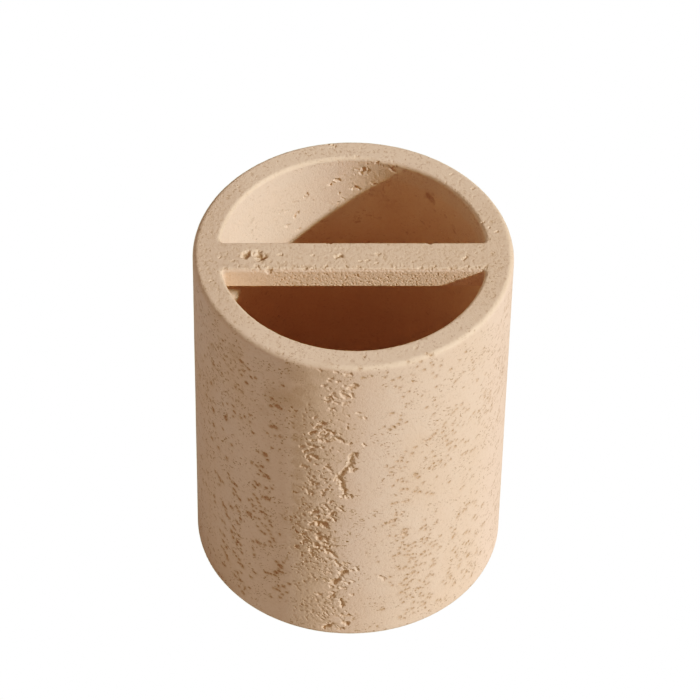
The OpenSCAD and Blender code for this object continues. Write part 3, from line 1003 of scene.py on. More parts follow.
def carve(points, chosen, cube=1.0):
    """How deep each point is carved, and how much brown it gets, from stains and painted shade."""
    boxes = boxes_of(points, cube)
    fine_shake = shaken(points, fine_shake_size)
    broad_shake = shaken(points, broad_shake_size)
    depth = np.zeros(len(points))
    stain = np.zeros(len(points))
    for pore in chosen:
        line = pore.end - pore.start
        length = max(np.linalg.norm(line), 1e-6)
        reach = search_share * pore.radius + search_extra
        low = np.floor((np.minimum(pore.start, pore.end) - reach) / cube).astype(int)
        high = np.floor((np.maximum(pore.start, pore.end) + reach) / cube).astype(int)
        cubes = product(*(range(a, b + 1) for a, b in zip(low, high)))
        found = [boxes[key] for key in cubes if key in boxes]
        if not found:
            continue
        index = np.concatenate(found)
        fine = fine_shake_share * min(pore.radius, fine_shake_limit)
        broad = broad_shake_share * min(max(pore.radius - broad_shake_start, 0), broad_shake_limit)
        here = points[index] + fine * fine_shake[index] + broad * broad_shake[index]
        share = np.clip((here - pore.start) @ line / length**2, 0, 1)
        off_line = np.linalg.norm(here - pore.start - share[:, None] * line, axis=1)
        off_line /= pore.radius
        bowl = np.maximum(1 - off_line**2, 0)
        depth[index] = np.maximum(depth[index], pore.depth * bowl)
        halo = np.clip(stain_reach - off_line, 0, 1)
        stain[index] = np.maximum(stain[index], pore.stain * halo * halo * (3 - 2 * halo))
    return depth, stain


carved, stain_and_shade = carve(surface, pores)
print("the deepest pore goes", round(carved.max(), 2), "mm into the stone")

# %% [markdown]
# ## Spongy patches
#
# In the open bands the stone between the pits isn't smooth either: it is a sponge of fine
# ridges that all lean the same way. Each patch is a piece of a wall with its own lean,
# and the ridges are smooth noise that is drawn out along that lean.


# %% Ridges of the spongy patches
def one_noise(points, size, shift=0):
    """Noise from 0 to 1 that changes over about this many mm; a shift picks another part of it."""
    return np.array([noise.noise(point) for point in (points / size + shift).tolist()]) / 2 + 0.5


def sharpened(values, gain, floor):
    """Smooth noise, stretched until it falls into patches with clear edges."""
    return np.clip(gain * values - floor, 0, 1)


Patch = namedtuple("Patch", "radius angle half_angle low high lean strength")
ridge_length = 1.1
ridge_width = 0.75
ridge_depth = 0.11
ridge_stain = 0.35
patch_edge = 6
patch_clump = 5
wall_depth = 0.8


def ridges(points, patch):
    """The points that lie in a patch, and how deep the ridges cut there, from 0 to 1."""
    turn = np.arctan2(points[:, 0], -points[:, 1]) - math.radians(patch.angle)
    turn = (turn + math.pi) % (2 * math.pi) - math.pi
    from_side = 1 - np.abs(turn) / math.radians(patch.half_angle)
    from_end = np.minimum(points[:, 2] - patch.low, patch.high - points[:, 2]) / patch_edge
    on_wall = np.abs(np.hypot(points[:, 0], points[:, 1]) - patch.radius) < wall_depth
    found = np.flatnonzero(on_wall & (from_side > 0) & (from_end > 0))
    share = np.clip(2 * from_side[found], 0, 1) * np.clip(from_end[found], 0, 1)
    share *= sharpened(one_noise(points[found], patch_clump, 31), 2.4, 0.5)
    across = turn[found] * patch.radius
    up = points[found, 2]
    lean = math.radians(patch.lean)
    along = across * math.cos(lean) + up * math.sin(lean)
    over = up * math.cos(lean) - across * math.sin(lean)
    cut = one_noise(np.stack([along / ridge_length, over / ridge_width, 0 * over], axis=1), 1, 5)
    return found, patch.strength * share * sharpened(cut, 2.4, 0.7)


patches = [
    Patch(body_r, -12, 10, 26, 66, -50, 1),
    Patch(body_r, -10, 9, 0, 34, -50, 0.9),
    Patch(body_r, -8, 9, 58, 96, -50, 0.5),
    Patch(body_r, 128, 9, 3, 98, 50, 0.9),
    Patch(body_r, -158, 9, 6, 100, -50, 0.9),
    Patch(bore_r, 168, 16, 82, 104, 55, 0.5),
]
spongy = np.zeros(len(surface))
for patch in patches:
    found, cut = ridges(surface, patch)
    spongy[found] = np.maximum(spongy[found], cut)
stain_and_shade = np.maximum(stain_and_shade, ridge_stain * spongy)
print(np.count_nonzero(spongy), "points lie in spongy patches")

# %% [markdown]
# ## Hand-worked faces
#
# A honed wall is never quite true, and the light shows it: it swells and dips by a few
# hundredths of a millimetre. The side of the bar was sawn and left rough, so it keeps
# slanting tooth marks and grit, and its upper edge has crumbled in places. The edges at
# the top have been worn a little uneven by use. All of this goes inwards only, so the
# stone stays inside its real size.


# %% Uneven honing
swell_depth = 0.05
swell_size = 9
dip_depth = 0.02
dip_size = 2.2
honing = swell_depth * one_noise(surface, swell_size) + dip_depth * one_noise(surface, dip_size, 7)
print("the honed walls swell by up to", round(honing.max() - honing.min(), 3), "mm")

# %% Saw marks on the sides of the bar
tooth_pitch = 0.5
tooth_reach = 2.2
tooth_depth = 0.08
grit_size = 0.36
grit_depth = 0.16
smooth_end = -24
smooth_fade = 16
least_sawn = 0.15
upright_side = 0.6
off_wall = 0.3
from_axis = np.hypot(surface[:, 0], surface[:, 1])
on_bar_side = (np.abs(facing[:, 1]) > upright_side) & (surface[:, 2] > bar_under_z - past)
on_bar_side &= from_axis < bore_r - off_wall
saw_points = surface[on_bar_side]
slant = np.stack([
    (saw_points[:, 0] + saw_points[:, 2]) / tooth_pitch,
    saw_points[:, 1],
    (saw_points[:, 0] - saw_points[:, 2]) / tooth_reach,
], axis=1)
from_smooth_end = np.clip((saw_points[:, 0] - smooth_end) / smooth_fade, 0, 1)
sawn = np.zeros(len(surface))
sawn[on_bar_side] = least_sawn + (1 - least_sawn) * from_smooth_end
sawing = np.zeros(len(surface))
teeth = tooth_depth * one_noise(slant, 1)
sawing[on_bar_side] = teeth + grit_depth * one_noise(saw_points, grit_size, 3)
sawing *= sawn
print("the saw marks reach", round(sawing.max(), 2), "mm into the bar")

# %% Crumbled and worn edges
crumb_reach = 1.8
crumb_size = 0.6
crumb_clump = 3
crumb_depth = 0.1
worn_layer = 2
wear_depth = 0.08
wear_size = 1.4
fine_wear_depth = 0.03
fine_wear_size = 0.6
least_depth = 0.01
from_edge = np.hypot(surface[:, 1] - bar_front_y, surface[:, 2] - rim_z)
on_edge = (from_edge < crumb_reach) & (from_axis < bore_r)
crumbs = sharpened(one_noise(surface[on_edge], crumb_size, 11), 2.6, 0.9)
crumbs *= sharpened(one_noise(surface[on_edge], crumb_clump, 13), 3, 0.9)
sawing[on_edge] += crumb_depth * crumbs * np.clip(crumb_reach - from_edge[on_edge], 0, 1)
# The wear is greatest where the surface leans halfway between level and upright
rounding = np.clip(4 * facing[:, 2] * (1 - facing[:, 2]), 0, 1) * (surface[:, 2] > rim_z - worn_layer)
wear = wear_depth * one_noise(surface, wear_size, 17)
wear = rounding * (wear + fine_wear_depth * one_noise(surface, fine_wear_size, 19))
moved = carved + ridge_depth * spongy + honing + sawing + wear + least_depth
set_points(stone_mesh, surface - facing * moved[:, None])
print("the worn edges give way by up to", round(wear.max(), 2), "mm")

# %% [markdown]
# ## A flat map of the stone
#
# Whoever bakes the finish into pictures needs a flat map of the stone. An automatic
# unwrap of so many faces is slow and wastes most of the picture. The stone is made of
# walls that roll out flat and of flat faces, so the map is worked out instead: each face
# goes to the sheet that it lies along, and each sheet has its own place on the map. The
# places of the points before carving are used, so no pore folds over itself.

# %% Roll the stone out flat
map_side = 262
sheet_gap = 3
inner_scale = 0.6
rebate_scale = 0.5
corner_index = np.empty(len(stone_mesh.loops), int)
stone_mesh.loops.foreach_get("vertex_index", corner_index)
face_sizes = np.empty(len(stone_mesh.polygons), int)
stone_mesh.polygons.foreach_get("loop_total", face_sizes)
corner_face = np.repeat(np.arange(len(face_sizes)), face_sizes)


def face_mean(values):
    """The mean over each face's corners, handed back to each of its corners."""
    total = np.zeros((len(face_sizes), values.shape[1]))
    np.add.at(total, corner_face, values[corner_index])
    return (total / face_sizes[:, None])[corner_face]


middle = face_mean(surface)
lean = face_mean(facing)
place = surface[corner_index]
from_axis = np.hypot(middle[:, 0], middle[:, 1])
out_lean = (lean[:, 0] * middle[:, 0] + lean[:, 1] * middle[:, 1]) / np.maximum(from_axis, 1e-6)
middle_angle = np.arctan2(middle[:, 0], -middle[:, 1])
corner_angle = np.arctan2(place[:, 0], -place[:, 1])
corner_angle += 2 * math.pi * np.round((middle_angle - corner_angle) / (2 * math.pi))
round_the_wall = corner_angle + math.pi

steep = 0.7
off_bore = 0.4
on_top = (lean[:, 2] > steep) & (middle[:, 2] > middle_z)
on_rebate_floor = (lean[:, 2] < -steep) & (from_axis > bore_r)
on_bar_under = (lean[:, 2] < -steep) & (from_axis <= bore_r)
flat = on_top | on_rebate_floor | on_bar_under
within_bar = (from_axis < bore_r - off_bore) & ~flat
bar_front = within_bar & (lean[:, 1] < 0)
bar_back = within_bar & (lean[:, 1] >= 0)
on_outside = ~flat & ~within_bar & (out_lean > 0)
on_inside = ~flat & ~within_bar & (out_lean <= 0)
in_rebate = on_inside & (middle[:, 2] < ledge_z)
on_inside &= ~in_rebate

outer_top = rim_z + 2 * sheet_gap
inner_top = outer_top + rim_z * inner_scale + sheet_gap
top_left = 2 * math.pi * bore_r * inner_scale + 2 * sheet_gap + body_r
rebate_left = top_left + 1.5 * body_r + sheet_gap
under_bottom = inner_top + 7 * sheet_gap
rebate_bottom = inner_top + 11 * sheet_gap
round_outside = body_r * round_the_wall
round_inside = inner_scale * bore_r * round_the_wall
round_rebate = rebate_scale * rebate_r * round_the_wall
across, back, up = place.T
sheets = [
    (on_outside, round_outside, up, sheet_gap, sheet_gap),
    (on_inside, round_inside, inner_scale * up, sheet_gap, outer_top),
    (on_top, across, back, top_left, outer_top + body_r),
    (bar_front, across, up, sheet_gap + bore_r, inner_top - bar_under_z),
    (bar_back, across, up, 2 * sheet_gap + 3 * bore_r, inner_top - bar_under_z),
    (on_bar_under, across, back, sheet_gap + bore_r, under_bottom),
    (in_rebate, round_rebate, rebate_scale * up, sheet_gap, rebate_bottom),
    (on_rebate_floor, rebate_scale * across, rebate_scale * back, rebate_left, outer_top + body_r),
]
flat_map = np.zeros((len(corner_index), 2))
for chosen, sideways, upwards, left, bottom in sheets:
    flat_map[chosen, 0] = sideways[chosen] + left
    flat_map[chosen, 1] = upwards[chosen] + bottom
flat_map /= map_side
stone_mesh.uv_layers.new(name="OFBake").data.foreach_set("uv", flat_map.ravel())
print("the flat map spans", flat_map.min(0).round(3), "to", flat_map.max(0).round(3))

# %% The finished stone
def finished(name, mesh, stored):
    """Keeps the named values on the points, brings the mesh to metres and makes its object."""
    for label, values in stored.items():
        kept = mesh.attributes.new(label, "FLOAT", "POINT")
        kept.data.foreach_set("value", values.astype(np.float32))
    set_points(mesh, mesh_points(mesh) / mm)
    mesh.shade_smooth()
    made = bpy.data.objects.new(name, mesh)
    bpy.context.collection.objects.link(made)
    return made


stone_values = {"pore_depth": carved, "pore_brown": stain_and_shade, "sawn_share": sawn}
stone = finished("carved_stone", stone_mesh, stone_values)
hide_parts("stone_body")
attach(stone, "root")
print("the carved stone has", len(stone_mesh.vertices), "points")

# %% [markdown]
# ## Effects that the finishes share
#
# The cup and its base disc are the same rock, and the adhesive is filled with its dust,
# so they share their effects: a place measured along the beds, soft clouds of tone, fine
# grain, and small pores too fine to carve. Each effect is a node group with its own
# sockets, built once and placed in each material with its own values.


# %% Helpers for node groups
def new_group(name, takes, gives):
    """An empty node group with named sockets; returns it with its two end nodes."""
    group = bpy.data.node_groups.new(name, "ShaderNodeTree")
    for label, kind, value in takes:
        socket = group.interface.new_socket(label, in_out="INPUT", socket_type=kind)
        if value is not None:
            socket.default_value = value
    for label, kind in gives:
        group.interface.new_socket(label, in_out="OUTPUT", socket_type=kind)
    return group, group.nodes.new("NodeGroupInput"), group.nodes.new("NodeGroupOutput")


def add(tree, kind, operation=None, **values):
    """A new node, with values for the inputs named, where an underscore stands for a space."""
    node = tree.nodes.new(kind)
    if operation:
        node.operation = operation
    for label, value in values.items():
        node.inputs[label.replace("_", " ")].default_value = value
    return node


def number(tree, operation, first, second=None, third=None):
    """A maths node fed by links or plain numbers; returns its result."""
    node = tree.nodes.new("ShaderNodeMath")
    node.operation = operation
    for socket, value in zip(node.inputs, (first, second, third)):
        if value is None:
            continue
        if isinstance(value, (int, float)):
            socket.default_value = value
        else:
            tree.links.new(value, socket)
    return node.outputs["Value"]


def ramp(tree, value, low, high, to_low=0.0, to_high=1.0):
    """Eases a value from one range to another, and no further."""
    node = tree.nodes.new("ShaderNodeMapRange")
    node.interpolation_type = "SMOOTHSTEP"
    tree.links.new(value, node.inputs["Value"])
    node.inputs["From Min"].default_value = low
    node.inputs["From Max"].default_value = high
    node.inputs["To Min"].default_value = to_low
    node.inputs["To Max"].default_value = to_high
    return node.outputs["Result"]


def tint(tree, amount, under, over, blend="MIX"):
    """Lays one colour over another by some amount; either may be a link or a plain colour."""
    node = tree.nodes.new("ShaderNodeMix")
    node.data_type = "RGBA"
    node.blend_type = blend
    tree.links.new(amount, node.inputs["Factor"])
    for socket, value in ((node.inputs[6], under), (node.inputs[7], over)):
        if isinstance(value, tuple):
            socket.default_value = (*value, 1)
        else:
            tree.links.new(value, socket)
    return node.outputs[2]


def measured(tree, place, size, flatness=None):
    """A place counted in units of some size, after it is drawn out flat if that is asked for."""
    if flatness is not None:
        squash = add(tree, "ShaderNodeCombineXYZ", X=1.0, Y=1.0)
        tree.links.new(flatness, squash.inputs["Z"])
        squashed = add(tree, "ShaderNodeVectorMath", "MULTIPLY")
        tree.links.new(place, squashed.inputs[0])
        tree.links.new(squash.outputs["Vector"], squashed.inputs[1])
        place = squashed.outputs["Vector"]
    sized = add(tree, "ShaderNodeVectorMath", "DIVIDE")
    tree.links.new(place, sized.inputs[0])
    tree.links.new(size, sized.inputs[1])
    return sized.outputs["Vector"]


print("the helpers are ready")


# %% Group: place along the beds
bed_place, take, give = new_group(
    "place_along_beds",
    [("Dip", "NodeSocketFloat", bed_dip)],
    [("Place", "NodeSocketVector"), ("Along Beds", "NodeSocketVector")],
)
here = add(bed_place, "ShaderNodeTexCoord")
in_mm = add(bed_place, "ShaderNodeVectorMath", "SCALE", Scale=mm)
bed_place.links.new(here.outputs["Object"], in_mm.inputs[0])
bed_place.links.new(in_mm.outputs["Vector"], give.inputs["Place"])
split = add(bed_place, "ShaderNodeSeparateXYZ")
bed_place.links.new(in_mm.outputs["Vector"], split.inputs[0])
dipped = number(bed_place, "MULTIPLY", split.outputs["Y"], take.outputs["Dip"])
level = number(bed_place, "ADD", split.outputs["Z"], dipped)
joined = add(bed_place, "ShaderNodeCombineXYZ")
bed_place.links.new(split.outputs["X"], joined.inputs["X"])
bed_place.links.new(split.outputs["Y"], joined.inputs["Y"])
bed_place.links.new(level, joined.inputs["Z"])
bed_place.links.new(joined.outputs["Vector"], give.inputs["Along Beds"])
print("the place along the beds takes", len(bed_place.nodes), "nodes")

# %% Group: soft clouds of tone
clouds, take, give = new_group(
    "stone_clouds",
    [
        ("Place", "NodeSocketVector", None),
        ("Size", "NodeSocketFloat", 20.0),
        ("Flatness", "NodeSocketFloat", 2.0),
    ],
    [("Cloud", "NodeSocketFloat"), ("Streak", "NodeSocketFloat")],
)
spot = measured(clouds, take.outputs["Place"], take.outputs["Size"], take.outputs["Flatness"])
soft = add(clouds, "ShaderNodeTexNoise", Scale=1.0, Detail=4.0, Roughness=0.55, Distortion=0.6)
clouds.links.new(spot, soft.inputs["Vector"])
clouds.links.new(ramp(clouds, soft.outputs["Fac"], low=0.3, high=0.7), give.inputs["Cloud"])
fine = add(clouds, "ShaderNodeTexNoise", Scale=4.5, Detail=5.0, Roughness=0.6, Distortion=0.3)
clouds.links.new(spot, fine.inputs["Vector"])
clouds.links.new(ramp(clouds, fine.outputs["Fac"], low=0.35, high=0.68), give.inputs["Streak"])
print("the clouds take", len(clouds.nodes), "nodes")

# %% Group: fine grain
grain, take, give = new_group(
    "fine_grain",
    [("Place", "NodeSocketVector", None), ("Size", "NodeSocketFloat", 0.5)],
    [("Grain", "NodeSocketFloat"), ("Crystals", "NodeSocketFloat")],
)
spot = measured(grain, take.outputs["Place"], take.outputs["Size"])
sand = add(grain, "ShaderNodeTexNoise", Scale=1.0, Detail=3.0, Roughness=0.65)
grain.links.new(spot, sand.inputs["Vector"])
grain.links.new(sand.outputs["Fac"], give.inputs["Grain"])
crystal = add(grain, "ShaderNodeTexVoronoi", Scale=0.7, Randomness=1.0)
grain.links.new(spot, crystal.inputs["Vector"])
grain.links.new(ramp(grain, crystal.outputs["Distance"], low=0.1, high=0.6), give.inputs["Crystals"])
print("the grain takes", len(grain.nodes), "nodes")

# %% Group: pores too fine to carve
fine_pores, take, give = new_group(
    "fine_pores",
    [
        ("Along Beds", "NodeSocketVector", None),
        ("Size", "NodeSocketFloat", 1.0),
        ("Flatness", "NodeSocketFloat", 2.5),
        ("Threshold", "NodeSocketFloat", 0.62),
    ],
    [("Pores", "NodeSocketFloat")],
)
spot = measured(fine_pores, take.outputs["Along Beds"], take.outputs["Size"], take.outputs["Flatness"])
dots = add(fine_pores, "ShaderNodeTexNoise", Scale=1.0, Detail=2.0, Roughness=0.5)
fine_pores.links.new(spot, dots.inputs["Vector"])
over = number(fine_pores, "SUBTRACT", dots.outputs["Fac"], take.outputs["Threshold"])
mask = ramp(fine_pores, over, low=0.0, high=0.06)
patch = add(fine_pores, "ShaderNodeTexNoise", Scale=0.12, Detail=2.0, Roughness=0.6)
fine_pores.links.new(spot, patch.inputs["Vector"])
clump = ramp(fine_pores, patch.outputs["Fac"], low=0.42, high=0.6)
fine_pores.links.new(number(fine_pores, "MULTIPLY", mask, clump), give.inputs["Pores"])
print("four shared effects:", [group.name for group in (bed_place, clouds, grain, fine_pores)])


# %% Helpers for materials
def new_material(name):
    """A material with its tree and its main shader."""
    material = bpy.data.materials.new(name)
    material.use_nodes = True
    return material, material.node_tree, material.node_tree.nodes["Principled BSDF"]


def use(tree, group, links=None, **values):
    """Places a shared effect in a material, with its own values."""
    node = tree.nodes.new("ShaderNodeGroup")
    node.node_tree = group
    for label, value in values.items():
        node.inputs[label.replace("_", " ")].default_value = value
    for label, output in (links or {}).items():
        tree.links.new(output, node.inputs[label])
    return node


def stored_value(tree, label):
    """A value that the carving left on the points."""
    node = tree.nodes.new("ShaderNodeAttribute")
    node.attribute_name = label
    return node.outputs["Fac"]


def part_of(tree, value, share):
    """A link's value times a plain number or another link."""
    return number(tree, "MULTIPLY", value, share)


def relief(tree, height, depth_in_m, shader):
    """Feeds a height to the shader's normal as a fine relief."""
    bump = tree.nodes.new("ShaderNodeBump")
    bump.inputs["Distance"].default_value = depth_in_m
    bump.inputs["Strength"].default_value = 1.0
    tree.links.new(height, bump.inputs["Height"])
    tree.links.new(bump.outputs["Normal"], shader.inputs["Normal"])


print("the helpers for materials are ready")

# %% [markdown]
# ## Travertine
#
# The stone is cream where its beds are dense and beige where they are open, and iron has
# left brown in and around the pores. That brown also carries painted shade: on the dark
# side of the marked hollows and in upright strips where the front wall turns into shade,
# and the floors of deep pores get a painted shade that grows with depth. One upright bed
# left of the pitted band is painted paler as painted light for the shaded side, and one at
# the far right is paler than the rest. The rim is honed finer, so it is paler, but its left
# end stays dull. Inside the bore, below the bar, a warmer and more saturated tint is painted
# shade, and its upper part at the back left, where the sun falls, is painted paler as
# painted light. The stored values of the carving place the brown exactly where the pores are.
#
# A painted picture could hold all this for one view only. Here each tone is laid over the
# last by a mask that is worked out from the place on the stone, so it holds all round.

# %% Tones of the travertine
cream = (0.885, 0.70, 0.535)
beige = (0.85, 0.645, 0.47)
rosy = (0.88, 0.67, 0.50)
# The brown of real stains and dots, also used for painted shade.
brown_stain_and_shade = (0.46, 0.28, 0.155)
# Painted shade for the floors of deep pores.
pore_shade_tone = (0.68, 0.45, 0.27)
# Painted light: the paler tone of the sunlit upper back left of the bore.
painted_light_tone = (0.95, 0.785, 0.632)
honed_top = (0.93, 0.75, 0.54)
pale_rim = (0.965, 0.79, 0.59)
dull_rim = (0.825, 0.655, 0.483)
# Painted shade: the warmer, more saturated tone of the shaded inside of the bore.
painted_shade_tone = (0.885, 0.635, 0.435)
sawn_tone = (0.85, 0.65, 0.485)
mottle_dark = (0.93, 0.90, 0.86)
# Painted light: a paler bed on the shaded left of the front.
painted_light_bed = (0.91, 0.71, 0.535)
light_bed = (0.93, 0.725, 0.57)
print("the stone is mixed from 14 tones, from", brown_stain_and_shade, "to", pale_rim)

# %% Travertine: clouds of cream, beige and rose
rosy_share = 0.5
travertine, tree, skin = new_material("travertine_honed")
where = use(tree, bed_place)
along_beds = {"Along Beds": where.outputs["Along Beds"]}
place_along_beds = {"Place": where.outputs["Along Beds"]}
place_in_mm = {"Place": where.outputs["Place"]}
tone = use(tree, clouds, place_along_beds, Size=16.0, Flatness=0.5)
beds = use(tree, clouds, place_along_beds, Size=14.0, Flatness=3.0)
sand = use(tree, grain, place_in_mm, Size=0.45)
dots = use(tree, fine_pores, along_beds, Size=0.75, Flatness=1.4, Threshold=0.592)
mottle = use(tree, grain, place_in_mm, Size=0.8)
colour = tint(tree, tone.outputs["Cloud"], beige, cream)
colour = tint(tree, part_of(tree, beds.outputs["Streak"], rosy_share), colour, rosy)
print("the clouds are laid along the beds")

# %% Travertine: places on the cup
bore_edge = (34.6, 34.2)
split = add(tree, "ShaderNodeSeparateXYZ")
tree.links.new(where.outputs["Place"], split.inputs[0])
x_place = split.outputs["X"]
y_place = split.outputs["Y"]
z_place = split.outputs["Z"]
x_squared = number(tree, "POWER", x_place, 2.0)
y_squared = number(tree, "POWER", y_place, 2.0)
out_from_axis = number(tree, "SQRT", number(tree, "ADD", x_squared, y_squared))
in_bore = ramp(tree, out_from_axis, *bore_edge)


def bed_at(angle, narrow, wide):
    """How strongly an upright bed at this angle round the wall shows, from 0 to 1.

    It is full within the narrow angle of its middle and gone beyond the wide one.
    """
    turn = math.radians(angle)
    towards = add(tree, "ShaderNodeVectorMath", "DOT_PRODUCT")
    tree.links.new(where.outputs["Place"], towards.inputs[0])
    towards.inputs[1].default_value = (math.sin(turn) / body_r, -math.cos(turn) / body_r, 0)
    limits = (math.cos(math.radians(wide)), math.cos(math.radians(narrow)))
    return ramp(tree, towards.outputs["Value"], *limits)


print("the bore's own tones begin", bore_edge[0], "mm off the axis")

# %% Travertine: paler beds, one of them painted light, and painted light and shade in the bore
bed_share = 0.8
painted_light_bed_top = (80.0, 62.0)
# Painted light: this bed lightens the shaded left wall.
on_painted_light_bed = part_of(tree, bed_at(-34, narrow=4, wide=18), ramp(tree, z_place, *painted_light_bed_top))
colour = tint(tree, part_of(tree, on_painted_light_bed, bed_share), colour, painted_light_bed)
colour = tint(tree, part_of(tree, bed_at(78, narrow=4, wide=30), bed_share), colour, light_bed)

# Painted light: the upper back left of the bore, where the sun falls inside, is painted paler.
painted_light_share = 0.7
painted_light_rise = (66.0, 84.0)
painted_light_left = (12.0, -2.0)
painted_light_back = (-5.0, 5.0)
painted_light_part = part_of(tree, ramp(tree, z_place, *painted_light_rise), ramp(tree, x_place, *painted_light_left))
painted_light_part = part_of(tree, painted_light_part, ramp(tree, y_place, *painted_light_back))
# Painted shade: the bore below the bar gets a warmer, more saturated tint where the cup lies in shade.
painted_shade_share = 0.45
under_bar = (rim_z - 5, rim_z - 7)
below_bar = ramp(tree, z_place, *under_bar)
in_painted_shade = part_of(tree, in_bore, part_of(tree, below_bar, painted_shade_share))
colour = tint(tree, in_painted_shade, colour, painted_shade_tone)
in_painted_light = part_of(tree, in_bore, part_of(tree, painted_light_part, painted_light_share))
colour = tint(tree, in_painted_light, colour, painted_light_tone)
print("the bore turns to honey below", round(under_bar[0], 1), "mm")

# %% Travertine: rim and sawn side of the bar
rim_layer = (rim_z - 1.2, rim_z - 0.3)
rim_share = 0.8
off_bar = (12.0, 30.0)
rim_left = (-22.0, -34.0)
sawn_start = 0.14
sawn_full = 0.9
on_rim = ramp(tree, z_place, *rim_layer, to_high=rim_share)
from_bar = number(tree, "ABSOLUTE", y_place)
colour = tint(tree, on_rim, colour, honed_top)
on_pale_rim = part_of(tree, on_rim, ramp(tree, from_bar, *off_bar))
colour = tint(tree, on_pale_rim, colour, pale_rim)
on_dull_rim = part_of(tree, on_rim, ramp(tree, x_place, *rim_left))
colour = tint(tree, on_dull_rim, colour, dull_rim)
on_sawn = ramp(tree, stored_value(tree, "sawn_share"), 0.0, sawn_start, to_high=sawn_full)
colour = tint(tree, on_sawn, colour, sawn_tone)
print("the rim's own tone begins", round(rim_z - rim_layer[0], 1), "mm below the top")

# %% Travertine: mottling, dots, pores with painted shade, and relief
mottle_share = 0.52
rim_mottle_share = 0.3
plain_bore = 0.7
plain_rim = 0.6
dot_share = 0.75
stain_and_shade_share = 0.85
grain_relief = 0.000062
mottled = ramp(tree, mottle.outputs["Grain"], low=0.44, high=0.68)
rough_rim = part_of(tree, number(tree, "SUBTRACT", on_rim, on_pale_rim), rim_mottle_share)
mottled = part_of(tree, mottled, number(tree, "ADD", rough_rim, mottle_share))
unseen = number(tree, "MAXIMUM", part_of(tree, in_bore, plain_bore), part_of(tree, on_rim, plain_rim))
fine_dots = part_of(tree, dots.outputs["Pores"], number(tree, "SUBTRACT", 1.0, unseen))
colour = tint(tree, mottled, colour, mottle_dark, "MULTIPLY")
colour = tint(tree, part_of(tree, fine_dots, dot_share), colour, brown_stain_and_shade)
# Painted shade: the floors of deep pores darken with their depth.
deep_pore_shade = ramp(tree, stored_value(tree, "pore_depth"), low=0.25, high=0.9, to_high=0.5)
colour = tint(tree, deep_pore_shade, colour, pore_shade_tone)
uneven = ramp(tree, sand.outputs["Grain"], low=0.3, high=0.6, to_low=0.5)
# The stored brown holds real stains and painted shade alike.
brown = part_of(tree, stored_value(tree, "pore_brown"), uneven)
colour = tint(tree, part_of(tree, brown, stain_and_shade_share), colour, brown_stain_and_shade)
tree.links.new(colour, skin.inputs["Base Color"])
matt_grain = ramp(tree, sand.outputs["Grain"], low=0.3, high=0.7, to_low=0.66, to_high=0.82)
tree.links.new(matt_grain, skin.inputs["Roughness"])
skin.inputs["Specular IOR Level"].default_value = 0.3
height = number(tree, "SUBTRACT", sand.outputs["Grain"], mottled)
height = number(tree, "SUBTRACT", height, fine_dots)
relief(tree, height, grain_relief, skin)
stone_mesh.materials.clear()
stone_mesh.materials.append(travertine)
print("the travertine has", len(tree.nodes), "nodes")

# %% [markdown]
# ## Base disc, adhesive and pads
#
# The disc is cut from the same block, so it gets the same recipe: an even mesh, a few
# pores and the shared effects. It was ground flat and then left, so it is duller and has
# round grinding marks. The adhesive is tinted paste with stone dust in it. The pads are
# clear soft plastic, and a little haze keeps them from looking like glass.

# %% Carve the base disc
pad_names = ["foot_pad_" + str(place) for place in range(1, 5)]
pad_boxes = [box_in_mm(name) for name in pad_names]
disc_r = disc_high.x
disc_bevel = bond_low.z - disc_low.z
recess_fit = 0.2
disc_edge = 0.05
recess_top = pad_boxes[0][1].z


def disc_distance(points):
    """How far each point lies outside the base disc, in mm."""
    x, y, z = points.T
    from_axis = np.hypot(x, y)
    plate = both(from_axis - disc_r, z - disc_high.z, disc_edge)
    plate = both(plate, disc_low.z - z, disc_edge)
    slope = (from_axis - disc_r + disc_bevel + disc_low.z - z) / math.sqrt(2)
    plate = both(plate, slope, disc_edge)
    for low, high in pad_boxes:
        middle = (low + high) / 2
        recess_r = (high.x - low.x) / 2 + recess_fit
        recess = np.maximum(np.hypot(x - middle.x, y - middle.y) - recess_r, z - recess_top)
        plate = both(plate, -recess, disc_edge)
    return plate


disc_mesh = even_mesh("ground_disc", "base_disc", voxel)
set_points(disc_mesh, settle(mesh_points(disc_mesh), disc_distance))
under_count = 260
upper_count = 160
disc_pore_reach = (0.1, 0.5)
disc_pore_radius = (0.2, 0.4)
disc_pore_depth = 0.6
disc_pore_stain = 0.5
around_disc_pore = 0.4
disc_pores = []
for face_z, count in ((disc_low.z, under_count), (disc_high.z, upper_count)):
    corner = np.array([disc_r, disc_r, 0])
    level = np.array([0, 0, face_z])
    middles = chance.uniform(level - corner, level + corner, (count, 3))
    half = chance.uniform(*disc_pore_reach, (count, 1)) * np.array([1, bed_dip, 0])
    for middle, reach in zip(middles, half):
        size = chance.uniform(*disc_pore_radius)
        deep = disc_pore_depth * size
        disc_pores.append(Pore(middle - reach, middle + reach, size, deep, disc_pore_stain))
split_faces(disc_mesh, faces_near(disc_mesh, disc_pores, around_disc_pore))
disc_surface = settle(mesh_points(disc_mesh), disc_distance, 2)
disc_facing = outward(disc_surface, disc_distance)
disc_carved, disc_stained = carve(disc_surface, disc_pores)
set_points(disc_mesh, disc_surface - disc_facing * (disc_carved + least_depth)[:, None])
print("the disc has", len(disc_mesh.polygons), "faces and", len(disc_pores), "pores")

# %% The finished disc
disc_values = {"pore_depth": disc_carved, "pore_brown": disc_stained}
disc = finished("ground_disc", disc_mesh, disc_values)
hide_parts("base_disc")
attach(disc, "root")

